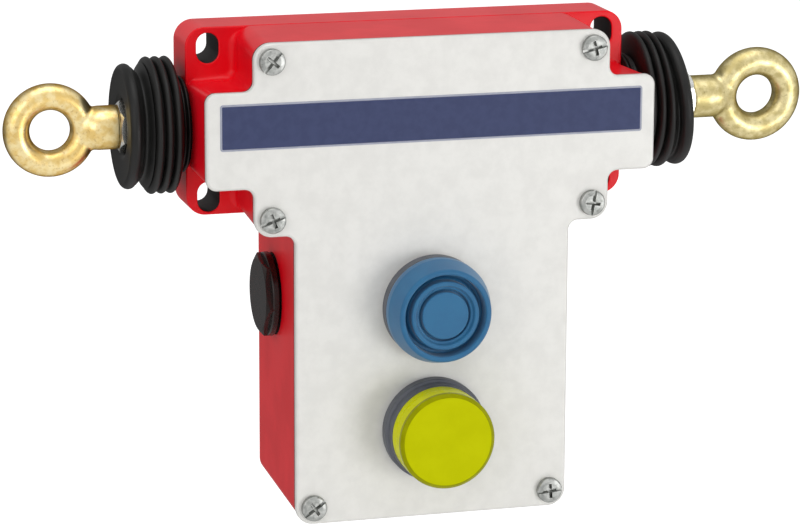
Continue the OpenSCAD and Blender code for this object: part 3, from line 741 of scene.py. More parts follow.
def crisp(made: bpy.types.Object, angle: float, flat_mm2: float = math.inf) -> None:
    """Keeps edges above an angle sharp and lets the large faces rule the shading.

    Args:
        made: The object.
        angle: The angle in degrees.
        flat_mm2: Faces larger than this are shaded flat, in square millimetres.
    """
    shape = bmesh.new()
    shape.from_mesh(made.data)
    shape.normal_update()
    large = {face for face in shape.faces if face.calc_area() > flat_mm2 * MM * MM}
    for face in shape.faces:
        near = [other for edge in face.edges for other in edge.link_faces if other in large]
        if face in large or any(face.normal.dot(other.normal) > COPLANAR for other in near):
            face.smooth = False
    shape.to_mesh(made.data)
    shape.free()
    made.data.set_sharp_from_angle(angle=math.radians(angle))
    weigh = made.modifiers.new("weigh", "WEIGHTED_NORMAL")
    weigh.mode, weigh.weight, weigh.keep_sharp = "FACE_AREA", 50, True
    bake(made)


def prism(
    corners: int, flats: float, cone: float, start: float, end: float, bore: float, phase: float = 0.0
) -> Callable[[Axis], Mesh]:
    """A nut or plug head: a regular prism whose ends are turned to a cone.

    Args:
        corners: Number of flats.
        flats: Half the width across flats.
        cone: Fall of the cone per unit of radius, at each end that is turned.
        start: Near end along the axis.
        end: Far end along the axis.
        bore: Radius of the bore.
        phase: Turn of the first corner, in degrees.

    Returns:
        A function that builds the points and faces about an axis.
    """

    def build(axis: Axis) -> Mesh:
        """The prism's points and faces about the axis."""
        first, second = (np.array(v) for v in axis.across())
        origin, along = np.array(axis.origin), np.array(axis.along)
        sectors = corners * 16
        points: list[np.ndarray] = []
        for i in range(sectors):
            a = 2 * math.pi * i / sectors
            off = (a % (2 * math.pi / corners)) - math.pi / corners
            radius = flats / math.cos(off)
            face = flats * TURNED_FACE
            drop = (radius - face) * cone
            turn = a + math.radians(phase)
            out = first * math.cos(turn) + second * math.sin(turn)
            for s, r in (
                (start, bore), (start, face), (start + drop, radius),
                (end - drop, radius), (end, face), (end, bore),
            ):
                points.append(origin + along * s + out * r)
        count = 6
        faces = [
            (i * count + k, j * count + k, j * count + (k + 1) % count, i * count + (k + 1) % count)
            for i in range(sectors)
            for j in ((i + 1) % sectors,)
            for k in range(count)
        ]
        return np.array(points), faces

    return build


# ---------------------------------------------------------------------------
# Sub-assemblies
# ---------------------------------------------------------------------------


@dataclass
class Plan:
    """The cover's outline: an upper block between two arms, with the wiring box below it."""

    arm_half: float = 65 * MM
    arm_top: float = 13.3 * MM
    arm_bottom: float = -13.9 * MM
    lobe_half: float = 51.5 * MM
    lobe_top: float = 26.7 * MM
    lobe_bottom: float = -27.7 * MM
    box_half: float = 39.9 * MM
    box_bottom: float = -111.6 * MM
    corner_r: float = 5 * MM
    arm_corner_r: float = 3 * MM
    notch_r: float = 2.8 * MM

    def loop(self, inset: float, steps: int = 10) -> list[Point]:
        """The outline drawn in by inset, as x and z, with the same count of points each time.

        Args:
            inset: How far the outline is drawn in.
            steps: Segments of each corner.

        Returns:
            The loop's points.
        """
        right = [
            (self.lobe_half, self.lobe_top, self.corner_r, 1, 1),
            (self.lobe_half, self.arm_top, self.notch_r, -1, 1),
            (self.arm_half, self.arm_top, self.arm_corner_r, 1, 1),
            (self.arm_half, self.arm_bottom, self.arm_corner_r, 1, -1),
            (self.lobe_half, self.arm_bottom, self.notch_r, -1, -1),
            (self.lobe_half, self.lobe_bottom, self.corner_r, 1, -1),
            (self.box_half, self.lobe_bottom, self.notch_r, -1, -1),
            (self.box_half, self.box_bottom, self.corner_r, 1, -1),
        ]
        half: list[Point] = []
        for x, z, radius, bulge, up in right:
            px, pz = x - inset, z - up * inset
            r = max(radius - bulge * inset, 0.4 * MM)
            if bulge > 0:
                cx, cz = px - r, pz - up * r
                start, end = (90, 0) if up > 0 else (0, -90)
            else:
                cx, cz = px + r, pz + up * r
                start, end = (180, 270) if up > 0 else (90, 180)
            for i in range(steps + 1):
                a = math.radians(start + (end - start) * i / steps)
                half.append((cx + r * math.cos(a), cz + r * math.sin(a)))
        return half + [(-x, z) for x, z in reversed(half)]


@dataclass
class Studio:
    """Camera, lights, floor and a plain white world."""

    aim: Vector = field(default_factory=lambda: Vector((-3.02 * MM, -30 * MM, -42.74 * MM)))
    distance: float = 1.01205
    azimuth: float = -15.803
    elevation: float = 13.165
    roll: float = 0.229
    focal: float = 158.5
    floor_z: float = -0.42
    floor_lift: float = 0.6
    floor_mirror_lift: float = 0.3
    world_level: float = 0.6
    mirror_front: float = 1.05
    mirror_back: float = 0.4
    room_front: float = -0.1
    room_back: float = 0.6
    floor_half: float = 8.0
    floor_dim: float = 0.85

    def build(self) -> None:
        """Makes the camera, the lamps, the floor and the world."""
        self.camera()
        self.world()
        self.floor()
        self.lamp("key", (0.8, -1.25, -0.25), 0.6, 6)
        self.lamp("fill", (-1.1, -1.1, 0.5), 1.0, 3.8)
        self.lamp("sky", (0.0, -0.3, 1.5), 1.2, 7)

    def camera(self) -> None:
        """Makes the camera and aims it."""
        a, e = math.radians(self.azimuth), math.radians(self.elevation)
        back = Vector((math.sin(a) * math.cos(e), -math.cos(a) * math.cos(e), math.sin(e)))
        lens = bpy.data.cameras.new("camera")
        lens.lens, lens.sensor_width = self.focal, 36
        made = linked("camera", lens)
        made.location = self.aim + back * self.distance
        made.rotation_mode = "QUATERNION"
        made.rotation_quaternion = (-back).to_track_quat("-Z", "Y") @ Quaternion(
            (0, 0, 1), math.radians(self.roll)
        )
        lens.clip_start, lens.clip_end = 0.05, 20
        bpy.context.scene.camera = made

    def world(self) -> None:
        """White where it is seen, a plain level of light, and a room that is dim behind for mirrors."""
        world = bpy.data.worlds.new("studio")
        bpy.context.scene.world = world
        tree = empty_tree(world)
        path = add_node(tree, "ShaderNodeLightPath", {}, {})
        seen = add_node(
            tree, "ShaderNodeMath", {"operation": "MAXIMUM"},
            {0: path.outputs["Is Camera Ray"], 1: path.outputs["Is Transmission Ray"]},
        )
        way = add_node(tree, "ShaderNodeTexCoord", {}, {}).outputs["Generated"]
        room = self.front_to_back(tree, way, self.mirror_front, self.mirror_back)
        light = add_node(tree, "ShaderNodeBackground", {"Color": WHITE, "Strength": self.world_level}, {})
        mirrored = add_node(tree, "ShaderNodeBackground", {"Color": WHITE}, {"Strength": room})
        white = add_node(tree, "ShaderNodeBackground", {"Color": WHITE, "Strength": 1.0}, {})
        lit = self.mix(tree, path.outputs["Is Glossy Ray"], light, mirrored)
        mix = self.mix(tree, seen.outputs[0], lit, white)
        add_node(tree, "ShaderNodeOutputWorld", {}, {"Surface": mix.outputs[0]})
        bpy.context.scene.view_settings.view_transform = "Standard"

    def mix(self, tree: bpy.types.NodeTree, share: Any, first: Any, second: Any) -> Any:
        """Adds a mix of two shader nodes, and returns its node."""
        return add_node(
            tree, "ShaderNodeMixShader", {}, {0: share, 1: first.outputs[0], 2: second.outputs[0]}
        )

    def front_to_back(self, tree: bpy.types.NodeTree, place: Any, front: float, back: float) -> Any:
        """Adds a soft change from the front of the room to its back, and returns its socket.

        Args:
            tree: The tree.
            place: The socket of the place or direction.
            front: Value at the front.
            back: Value at the back.

        Returns:
            The value's socket.
        """
        depth = add_node(tree, "ShaderNodeSeparateXYZ", {}, {0: place}).outputs["Y"]
        return add_node(
            tree, "ShaderNodeMapRange",
            {
                "interpolation_type": "SMOOTHSTEP", "From Min": self.room_front, "From Max": self.room_back,
                "To Min": front, "To Max": back,
            },
            {"Value": depth},
        ).outputs["Result"]

    def floor(self) -> None:
        """A plain pale floor, well below the switch, that takes its shadow."""
        material = bpy.data.materials.new("pale_floor")
        tree = empty_tree(material)
        path = add_node(tree, "ShaderNodeLightPath", {}, {})
        seen = add_node(
            tree, "ShaderNodeMath", {"operation": "MULTIPLY", 1: self.floor_lift},
            {0: path.outputs["Is Camera Ray"]},
        )
        lift = add_node(
            tree, "ShaderNodeMath", {"operation": "MULTIPLY_ADD", 1: self.floor_mirror_lift},
            {0: path.outputs["Is Glossy Ray"], 2: seen.outputs[0]},
        )
        diffuse = add_node(tree, "ShaderNodeBsdfDiffuse", {"Color": (0.9, 0.9, 0.9, 1)}, {})
        glow = add_node(tree, "ShaderNodeEmission", {"Color": WHITE}, {"Strength": lift.outputs[0]})
        both = add_node(tree, "ShaderNodeAddShader", {}, {0: diffuse.outputs[0], 1: glow.outputs[0]})
        place = add_node(tree, "ShaderNodeNewGeometry", {}, {}).outputs["Position"]
        room = self.front_to_back(tree, place, 0.0, self.floor_dim)
        dim = add_node(
            tree, "ShaderNodeMath", {"operation": "MULTIPLY"}, {0: room, 1: path.outputs["Is Glossy Ray"]}
        )
        dark = add_node(tree, "ShaderNodeBsdfDiffuse", {"Color": (0.1, 0.1, 0.1, 1)}, {})
        mix = self.mix(tree, dim.outputs[0], both, dark)
        add_node(tree, "ShaderNodeOutputMaterial", {}, {"Surface": mix.outputs[0]})
        mesh = bpy.data.meshes.new("floor")
        half = self.floor_half
        corners = [(x * half, y * half, self.floor_z) for x, y in ((-1, -1), (1, -1), (1, 1), (-1, 1))]
        mesh.from_pydata(corners, [], [(0, 1, 2, 3)])
        mesh.materials.append(material)
        made = linked("floor", mesh)

    def lamp(self, name: str, place: tuple[float, float, float], size: float, power: float) -> None:
        """Makes a soft square lamp that points at the switch.

        Args:
            name: The lamp's name.
            place: Where it stands.
            size: Its side.
            power: Its power in watts.
        """
        light = bpy.data.lights.new(name, "AREA")
        light.energy, light.size = power, size
        made = linked(name, light)
        made.location = place
        made.rotation_mode = "QUATERNION"
        made.rotation_quaternion = (self.aim - Vector(place)).to_track_quat("-Z", "Y")


@dataclass
class Casting:
    """The die-cast housing: leaning walls, four lugs that stand off the wall, and faces for the plugs."""

    plan: Plan = field(default_factory=Plan)
    overhang: float = 0.4 * MM
    wall: float = 4.2 * MM
    back: float = 4 * MM
    arm_wall: float = 9.2 * MM
    draft: float = math.radians(2)
    lug_low: Point = (-64.6 * MM, -26.5 * MM)
    lug_high: Point = (64.6 * MM, 27.3 * MM)
    lug_back: float = -10 * MM
    lug_face: float = -26 * MM
    lug_corner_r: float = 5.5 * MM
    edge_r: float = 0.5 * MM
    cove_r: float = 2.2 * MM
    slot_at: Point = (58.2 * MM, 21.3 * MM)
    slot_half: Point = (3.2 * MM, 4.3 * MM)
    slot_lip: float = 0.35 * MM
    rope_y: float = -21.9 * MM
    rope_z: float = -0.3 * MM
    spigot_r: float = 11 * MM
    bush_r: float = 7.9 * MM
    entry_r: float = 9.25 * MM
    entry_z: float = -51.5 * MM
    seat_half: float = 12.7 * MM
    face_r: float = 11.9 * MM
    face_cut: float = 0.05 * MM
    rim_r: float = 0.35 * MM
    hollow_r: float = 1.5 * MM
    back_r: float = 0.7 * MM
    boss_r: float = 4 * MM
    boss_depth: float = 11 * MM
    boss_sunk: float = 0.01 * MM
    spigot_span: Point = (-4 * MM, 4.2 * MM)
    bush_span: Point = (50 * MM, 72 * MM)
    entry_span: Point = (25 * MM, 45 * MM)
    bottom_y: float = -25 * MM
    bottom_span: Point = (-100 * MM, -118 * MM)
    bottom_lift: float = 2.2 * MM

    def leaned(self, y: float, rim: float) -> Plan:
        """The outer plan at a depth, as far in as the draft has brought it.

        Args:
            y: The depth.
            rim: Depth of the walls' front rim.

        Returns:
            The plan at that depth.
        """
        lean = math.tan(self.draft) * (y - rim)
        inset = self.overhang + lean
        p = self.plan
        front = y <= self.lug_face + 1e-6
        share = (y - rim) / (self.lug_face - rim)
        top, bottom = p.lobe_top - self.overhang, p.lobe_bottom + self.overhang
        if front:
            lobe_top = top + (self.lug_high[1] - 0.12 * MM - top) * share
            lobe_bottom = bottom + (self.lug_low[1] + 0.12 * MM - bottom) * share
            arm_half = p.arm_half - self.overhang
        else:
            lean = math.tan(self.draft) * -rim
            lobe_top, lobe_bottom = top - lean, bottom + lean
            arm_half = p.arm_half - self.overhang - lean
        return Plan(
            arm_half, p.arm_top - inset, p.arm_bottom + inset, p.lobe_half - inset, lobe_top, lobe_bottom,
            p.box_half - inset, p.box_bottom + self.overhang, p.corner_r - self.overhang,
            p.arm_corner_r - self.overhang, p.notch_r + self.overhang,
        )

    def coved(self, plan: Plan, out: float) -> list[Point]:
        """The plan's loop, let out where it runs into a lug's face.

        Args:
            plan: The plan.
            out: How far it is let out.

        Returns:
            The loop's points.
        """
        loop = []
        for (x, z), (wide_x, wide_z) in zip(plan.loop(0), plan.loop(-out)):
            room = min(self.lug_high[0] - abs(x), self.lug_high[1] - z, z - self.lug_low[1])
            share = min(max(room / (2 * self.cove_r) - 0.1, 0), 1)
            share *= share * (3 - 2 * share)
            loop.append((x + (wide_x - x) * share, z + (wide_z - z) * share))
        return loop

    def shell(self, rim: float) -> bpy.types.Object:
        """The walls, the back and the hollow between them.

        Args:
            rim: Depth of the walls' front rim.

        Returns:
            The casting without its lugs.
        """
        made = Shell()
        rows = [made.row(self.leaned(rim, rim).loop(self.rim_r), rim)]
        rows.append(made.row(self.leaned(rim, rim).loop(0), rim + self.rim_r))
        start = self.lug_face - self.cove_r
        for share in (0.25, 0.5, 0.75):
            y = rim + (start - rim) * share
            rows.append(made.row(self.leaned(y, rim).loop(0), y))
        steps = 8
        for i in range(steps + 1):
            a = math.radians(90 * i / steps)
            y = start + self.cove_r * math.sin(a)
            rows.append(made.row(self.coved(self.leaned(y, rim), self.cove_r * (1 - math.cos(a))), y))
        for y in (self.lug_face + 0.05 * MM, self.lug_back, -self.back_r):
            rows.append(made.row(self.leaned(y, rim).loop(0), y))
        for y, inset in arc_rows(0.0, -1, self.back_r)[1:]:
            rows.append(made.row(self.leaned(y, rim).loop(inset), y))
        made.faces += walls(rows)
        made.faces += fill_flat(made.points, rows[-1])
        hollow = self.hollow()
        inner = [made.row(hollow.loop(0), rim), made.row(hollow.loop(0), -self.back)]
        made.faces += walls([rows[0], *inner])
        made.faces += fill_flat(made.points, inner[-1])
        casting = new_object("housing_casting", made.points, made.faces, RED_ENAMEL)
        # Second slot: the near-black painted shade that the lugs' slot walls carry.
        casting.data.materials.append(PAINTED_SLOT_SHADE.material())
        return casting

    def hollow(self) -> Plan:
        """The plan of the hollow, with the arms' thick end walls left standing."""
        p, inset = self.plan, self.overhang + self.wall
        return Plan(
            p.arm_half - self.overhang - self.arm_wall, p.arm_top - inset, p.arm_bottom + inset,
            p.lobe_half - inset, p.lobe_top - inset, p.lobe_bottom + inset, p.box_half - inset,
            p.box_bottom + inset, self.hollow_r, self.hollow_r, p.notch_r,
        )

    def lugs(self) -> bpy.types.Object:
        """The slab whose four corners are the lugs, with a lipped slot through each.

        Returns:
            The slab, its slot walls in the near-black painted shade.
        """
        made = Shell()
        face, back = self.lug_face, self.lug_back
        chamfer = self.edge_r
        rows = [(back, chamfer), (back - chamfer, 0.0)] + arc_rows(face, 1, self.edge_r)
        x, z = self.slot_at
        w, h = self.slot_half
        holes = []
        lip = [(y, -inset) for y, inset in arc_rows(face, 1, self.slot_lip)]
        for cx in (-x, x):
            for cz in (-z, z):
                def loop(inset: float, cx: float = cx, cz: float = cz) -> list[Point]:
                    """The slot's loop for an inset."""
                    return round_box((cx - w, cz - h), (cx + w, cz + h), w, inset, 10)

                holes.append((loop, [(back, 0.0)] + lip))

        def around(inset: float) -> list[Point]:
            """The slab's loop for an inset."""
            return round_box(self.lug_low, self.lug_high, self.lug_corner_r, inset, 12)

        made.slab(around, rows, holes)
        lugs = new_object("lugs", made.points, made.faces, RED_ENAMEL)
        lugs.data.materials.append(PAINTED_SLOT_SHADE.material())
        # The slot walls take the near-black painted shade.
        for face in lugs.data.polygons:
            across, up = abs(abs(face.center.x) - x), abs(abs(face.center.z) - z)
            if abs(face.normal.y) < 0.3 and across < w + self.slot_lip and up < h + self.slot_lip:
                face.material_index = 1
        return lugs

    def rod(self, start: Vector, end: Vector, radius: float) -> bpy.types.Object:
        """A plain closed cylinder between two points.

        Args:
            start: Middle of one end.
            end: Middle of the other end.
            radius: Its radius.

        Returns:
            The tool.
        """
        along = end - start
        outline = [(0, 0), (0, radius), (along.length, radius), (along.length, 0)]
        return new_object("rod", *Axis(start, along.normalized()).turn(outline, 64), RED_ENAMEL)

    def bar(self, z: float, sign: int, span: Point, radius: float) -> bpy.types.Object:
        """A closed cylinder that lies as the rope does, at the rope's depth.

        Args:
            z: Height of its axis.
            sign: 1 on the right side, -1 on the left.
            span: Where it starts and ends, from the middle outwards.
            radius: Its radius.

        Returns:
            The tool.
        """
        start, end = (Vector((sign * x, self.rope_y, z)) for x in span)
        return self.rod(start, end, radius)

    def block(self, low: Vector, high: Vector) -> bpy.types.Object:
        """A plain closed box between two corners.

        Args:
            low: Its least corner.
            high: Its greatest corner.

        Returns:
            The tool.
        """
        made = Shell()

        def loop(inset: float) -> list[Point]:
            """The box's loop for an inset."""
            return round_box((low.x, low.z), (high.x, high.z), 1 * MM, inset, 4)

        made.slab(loop, [(high.y, 0), (low.y, 0)])
        return new_object("block", made.points, made.faces, RED_ENAMEL)

    def build(self) -> None:
        """Joins the lugs, bosses and spigots to the walls, and cuts the faces and bores."""
        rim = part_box("cover_gasket")[1].y
        piece = self.shell(rim)
        arm_end = self.lug_high[0]
        face_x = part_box("right_plug_seal")[0].x - self.face_cut
        seat_z = self.plan.box_bottom + self.bottom_lift
        added = [self.lugs()]
        cut = []
        for x, z in CoverScrews(self.plan).places():
            foot, top = Vector((x, rim + self.boss_depth, z)), Vector((x, rim + self.boss_sunk, z))
            added.append(self.rod(foot, top, self.boss_r))
        for sign in (-1, 1):
            spigot = (arm_end + self.spigot_span[0], arm_end + self.spigot_span[1])
            added.append(self.bar(self.rope_z, sign, spigot, self.spigot_r))
            cut.append(self.bar(self.rope_z, sign, self.bush_span, self.bush_r))
            cut.append(self.bar(self.entry_z, sign, self.entry_span, self.entry_r))
            cut.append(self.bar(self.entry_z, sign, (face_x, self.entry_span[1]), self.face_r))
        low = Vector((-self.seat_half, rim + 6 * MM, seat_z - 8 * MM))
        cut.append(self.block(low, Vector((self.seat_half, 5 * MM, seat_z))))
        start, end = (Vector((0, self.bottom_y, z)) for z in self.bottom_span)
        cut.append(self.rod(start, end, self.entry_r))
        combine(piece, added, "UNION")
        combine(piece, cut, "DIFFERENCE")
        crisp(piece, 38, 30)
        place_piece(piece, "body", RED_ENAMEL, "housing")


@dataclass
class CoverPlate:
    """The satin cover with its rolled front edge and its two round holes."""

    plan: Plan = field(default_factory=Plan)
    edge_r: float = 0.8 * MM
    hole_r: float = 11.15 * MM
    hole_edge: float = 0.2 * MM

    def build(self) -> None:
        """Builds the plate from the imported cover's depth and the plan."""
        low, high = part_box("cover")
        front, back = low.y, high.y
        rows = [(back, 0.25 * MM), (back - 0.15 * MM, 0.0)] + arc_rows(front, 1, self.edge_r, 8)
        rows.append((front, self.edge_r + 0.15 * MM))
        holes = []
        for node in ("reset_bezel", "pilot_collar"):
            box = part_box(node)
            z = (box[0].z + box[1].z) / 2

            def loop(inset: float, z: float = z) -> list[Point]:
                """The hole's loop for an inset."""
                return circle_loop(0, z, self.hole_r + inset)

            holes.append((loop, [(back, 0.0), (front + self.hole_edge, 0.0), (front, self.hole_edge)]))
        made = Shell()
        made.slab(self.plan.loop, rows, holes)
        piece = new_object("cover_plate", made.points, made.faces, COVER_STEEL)
        crisp(piece, 50)
        place_piece(piece, "body", COVER_STEEL, "cover")


@dataclass
class NameBand:
    """The bare blue band: a printed field inside a narrow clear margin."""

    margin: float = 0.55 * MM
    corner_r: float = 0.8 * MM
    ink: float = 0.1 * MM
    edge_r: float = 0.06 * MM

    def build(self) -> None:
        """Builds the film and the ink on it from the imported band's box."""
        low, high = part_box("name_band")
        for name, finish, inset, front in (
            ("band_film", CLEAR_MARGIN, 0.0, low.y + self.ink), ("band_ink", BLUE_INK, self.margin, low.y),
        ):
            made = Shell()

            def loop(grow: float, inset: float = inset) -> list[Point]:
                """The film's loop for an inset beyond its own."""
                return round_box((low.x, low.z), (high.x, high.z), self.corner_r, inset + grow, 6)

            made.slab(loop, [(high.y, 0.0), *arc_rows(front, 1, self.edge_r, 3)])
            piece = new_object(name, made.points, made.faces, finish)
            crisp(piece, 50)
            place_piece(piece, "body", BLUE_INK, *(["name_band"] if finish is BLUE_INK else []))


@dataclass
class CoverScrews:
    """Six pan-head screws with a cross in a slot, set out by geometry nodes."""

    plan: Plan = field(default_factory=Plan)
    inset: float = 5 * MM
    head_r: float = 3.65 * MM
    head_h: float = 1.9 * MM
    shank_r: float = 2 * MM
    slot_w: float = 0.95 * MM
    turns: tuple[float, ...] = (50, 20, 35, 15, 80, 5)

    def places(self) -> list[Point]:
        """The x and z of each screw, the left side's first."""
        p = self.plan
        return [
            point
            for s in (-1, 1)
            for point in (
                (s * (p.lobe_half - self.inset), p.lobe_top - self.inset),
                (s * (p.lobe_half - self.inset), p.lobe_bottom + self.inset),
                (s * (p.box_half - self.inset), p.box_bottom + self.inset),
            )
        ]

    def screw(self) -> bpy.types.Object:
        """One screw at the origin, its head's face turned to -Y.

        Returns:
            The screw.
        """
        r, h = self.head_r, self.head_h
        outline = rounded(
            [(-13 * MM, 0, 0), (-13 * MM, self.shank_r, 0), (0.02 * MM, self.shank_r, 0),
             (0.02 * MM, r, 0.12 * MM), (h - 0.3 * MM, r, 0.55 * MM), (h, r - 1.3 * MM, 0.4 * MM), (h, 0, 0)]
        )
        made = new_object("screw", *Axis(Vector((0, 0, 0)), Vector((0, -1, 0))).turn(outline, 64), ZINC_PLATE)
        tools = [self.cutter(r + 1 * MM, self.slot_w / 2, self.slot_w / 2, h * 0.45)]
        for a in (0, 90):
            tool = self.cutter(r * 0.6, self.slot_w * 0.55, self.slot_w * 0.3, h * 0.8)
            tool.data.transform(Quaternion((0, 1, 0), math.radians(a)).to_matrix().to_4x4())
            tools.append(tool)
        combine(made, tools, "DIFFERENCE")
        crisp(made, 30)
        return made

    def cutter(self, reach: float, mouth: float, floor: float, depth: float) -> bpy.types.Object:
        """A wedge-sided bar that sinks a slot into the head.

        Args:
            reach: Half its length at the head's face.
            mouth: Half its width at the head's face.
            floor: Half its width at its floor.
            depth: How deep it sinks.

        Returns:
            The tool.
        """
        top = -self.head_h - 0.5 * MM
        bottom = -self.head_h + depth
        short = reach - (mouth - floor)
        points = [
            (x, y, z)
            for y, w, length in ((top, mouth, reach), (bottom, floor, short))
            for x, z in ((-length, -w), (length, -w), (length, w), (-length, w))
        ]
        ends = [(0, 1, 2, 3), (4, 5, 6, 7)]
        return new_object("cutter", points, ends + walls(ends), ZINC_PLATE)

    def group(self) -> bpy.types.NodeTree:
        """Geometry nodes that set one screw on every point and turn it as it was tightened.

        Returns:
            The tree.
        """
        tree = bpy.data.node_groups.new("screws_on_points", "GeometryNodeTree")
        for name, way, kind in (
            ("Points", "INPUT", "Geometry"), ("Screw", "INPUT", "Object"), ("Finish", "INPUT", "Material"),
            ("Screws", "OUTPUT", "Geometry"),
        ):
            tree.interface.new_socket(name, in_out=way, socket_type="NodeSocket" + kind)
        given = add_node(tree, "NodeGroupInput", {}, {})
        turn = add_node(tree, "GeometryNodeInputNamedAttribute", {"data_type": "FLOAT", "Name": "turn"}, {})
        spin = add_node(tree, "ShaderNodeCombineXYZ", {}, {"Y": turn.outputs["Attribute"]})
        rotation = add_node(tree, "FunctionNodeEulerToRotation", {}, {0: spin.outputs[0]})
        screw = add_node(tree, "GeometryNodeObjectInfo", {}, {"Object": given.outputs["Screw"]})
        placed = add_node(
            tree, "GeometryNodeInstanceOnPoints", {},
            {
                "Points": given.outputs["Points"], "Instance": screw.outputs["Geometry"],
                "Rotation": rotation.outputs[0],
            },
        )
        real = add_node(tree, "GeometryNodeRealizeInstances", {}, {0: placed.outputs[0]})
        dressed = add_node(
            tree, "GeometryNodeSetMaterial", {},
            {"Geometry": real.outputs[0], "Material": given.outputs["Finish"]},
        )
        add_node(tree, "NodeGroupOutput", {}, {0: dressed.outputs[0]})
        return tree

    def build(self) -> None:
        """Sets the screws on the cover and makes them one piece of the body."""
        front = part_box("cover")[0].y
        mesh = bpy.data.meshes.new("cover_screw_set")
        mesh.from_pydata([(x, front, z) for x, z in self.places()], [], [])
        turned = mesh.attributes.new("turn", "FLOAT", "POINT")
        turned.data.foreach_set("value", [-math.radians(t) for t in self.turns])
        made = linked("cover_screw_set", mesh)
        screw = self.screw()
        modifier = made.modifiers.new("screws", "NODES")
        modifier.node_group = self.group()
        values = {"Screw": screw, "Finish": ZINC_PLATE.material()}
        for item in modifier.node_group.interface.items_tree:
            if item.in_out == "INPUT" and item.name in values:
                modifier[item.identifier] = values[item.name]
        bake(made)
        bpy.data.objects.remove(screw)
        place_piece(made, "body", ZINC_PLATE, "cover_screws")


@dataclass
class Bellows:
    """A rubber bellows that the pull stretches: a ribbed neck, three folds and a lip."""

    side: Side
    neck_r: float = 13.4 * MM
    bore_r: float = 11.1 * MM
    fold_r: float = 19.7 * MM
    root_r: float = 17.4 * MM
    first_fold: float = 4.5 * MM
    fold_pitch: float = 2.7 * MM
    valley_r: float = 15.4 * MM
    lip_at: float = 16.4 * MM
    lip_r: float = 17.7 * MM
    bead_r: float = 1.7 * MM
    dish_r: float = 7.9 * MM
    wall: float = 1.5 * MM
    shaft_r: float = 6.25 * MM
    shoulder_at: float = 14.2 * MM
    tilt_from: float = 9 * MM
    tilt_over: float = 6 * MM
    lip_tilt: float = 0.0
    drop: float = 0.0

    def outline(self, start: float, shoulder: float) -> list[Point]:
        """The closed outline, from the neck's mouth to the lip and back inside.

        Args:
            start: Distance of the neck's mouth from the middle.
            shoulder: Distance of the face that the lock nut clamps.

        Returns:
            Distance and radius of each point.
        """
        outside: list[Point] = [(start, self.neck_r - 0.3 * MM)]
        for k in range(2):
            rib = start + (0.75 + 1.15 * k) * MM
            outside += self.crest(rib, self.neck_r + 0.35 * MM, 0.58 * MM, self.neck_r - 0.5 * MM)
        first = start + self.first_fold
        outside += [(first - 1.6 * MM, self.neck_r - 0.3 * MM), (first - 1.75 * MM, self.neck_r + 1.2 * MM)]
        last = first + 2 * self.fold_pitch
        for k in range(3):
            outside += self.crest(first + k * self.fold_pitch, self.fold_r, self.fold_pitch / 2, self.root_r)
        lip = start + self.lip_at
        valley = (last + self.fold_pitch / 2 + lip - self.bead_r) / 2 + 0.3 * MM
        foot = (last + 0.44 * self.fold_pitch, self.root_r + 0.6 * MM)
        outside += self.glide(foot, (valley, self.valley_r), 6)
        bead = [
            (lip + self.bead_r * math.sin(a), self.lip_r - self.bead_r + self.bead_r * math.cos(a))
            for a in np.linspace(math.radians(-62), math.radians(96), 20)
        ]
        outside += [(valley, self.valley_r)] + self.glide((valley, self.valley_r), bead[0], 5) + bead
        edge = (lip + self.bead_r * 0.75, self.dish_r + 1.2 * MM)
        dish = self.glide(bead[-1], edge, 6)
        dish += [edge, (edge[0] - 0.5 * MM, self.dish_r + 0.3 * MM), (edge[0] - 1.3 * MM, self.dish_r)]
        inside_points = [
            (shoulder, self.dish_r - 0.1 * MM),
            (shoulder, self.shaft_r),
            (shoulder - 2.4 * MM, self.shaft_r),
            (shoulder - 2.4 * MM, self.shaft_r + 2.6 * MM),
            (valley - 1.0 * MM, self.valley_r - self.wall),
            (last, self.fold_r - self.wall - 0.6 * MM),
            (first - 0.4 * MM, self.root_r - self.wall),
            (first - 0.4 * MM, self.bore_r),
            (start, self.bore_r),
            (start, self.neck_r - 0.3 * MM),
        ]
        return outside + dish + inside_points

    def crest(self, middle: float, radius: float, half: float, root: float, steps: int = 12) -> list[Point]:
        """A round-topped fold between two tight valleys.

        Args:
            middle: Distance of the fold's middle.
            radius: Its radius at the top.
            half: Half its width.
            root: Radius of the valleys.
            steps: Segments of the fold.

        Returns:
            The fold's points.
        """
        made = []
        for i in range(steps + 1):
            t = -1 + 2 * i / steps
            height = root + (radius - root) * (1 - t * t) ** 0.6
            made.append((middle + half * t * (0.93 + 0.05 * t * t), height))
        return made

    def glide(self, first: Point, last: Point, steps: int) -> list[Point]:
        """An S-shaped run between two points, without its ends.

        Args:
            first: Where it starts.
            last: Where it ends.
            steps: Segments of the run.

        Returns:
            The points between.
        """
        made = []
        for i in range(1, steps):
            t = i / steps
            ease = (1 - math.cos(math.pi * t)) / 2
            made.append((first[0] + (last[0] - first[0]) * t, first[1] + (last[1] - first[1]) * ease))
        return made

    def build(self) -> None:
        """Turns the outline and tilts the lip as it hangs."""
        low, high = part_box(f"{self.side.word}_bellows")
        sign = self.side.value
        start = low.x if sign > 0 else -high.x
        centre = (low + high) / 2 - Vector((0, 0, self.drop))
        shoulder = start + self.shoulder_at
        axis = Axis(Vector((0, centre.y, centre.z)), Vector((sign, 0, 0)))
        points, faces = axis.turn(self.outline(start, shoulder), 144)
        reach = points[:, 0] * sign
        first = start + self.first_fold
        share = np.clip((reach - first) / (self.lip_at - 2 * MM - self.first_fold), 0, 1)
        radius = np.hypot(points[:, 1] - centre.y, points[:, 2] - centre.z)
        outer = np.clip((radius - self.tilt_from) / self.tilt_over, 0, 1)
        tilt = math.tan(math.radians(self.lip_tilt))
        points[:, 0] -= sign * share**2 * outer * tilt * (points[:, 2] - centre.z)
        piece = new_object(f"{self.side.word}_bellows_rubber", points, faces, BELLOWS_RUBBER)
        piece.data.set_sharp_from_angle(angle=math.radians(55))
        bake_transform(piece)
        finish_piece(piece, BELLOWS_RUBBER, f"{self.side.word}_bellows")


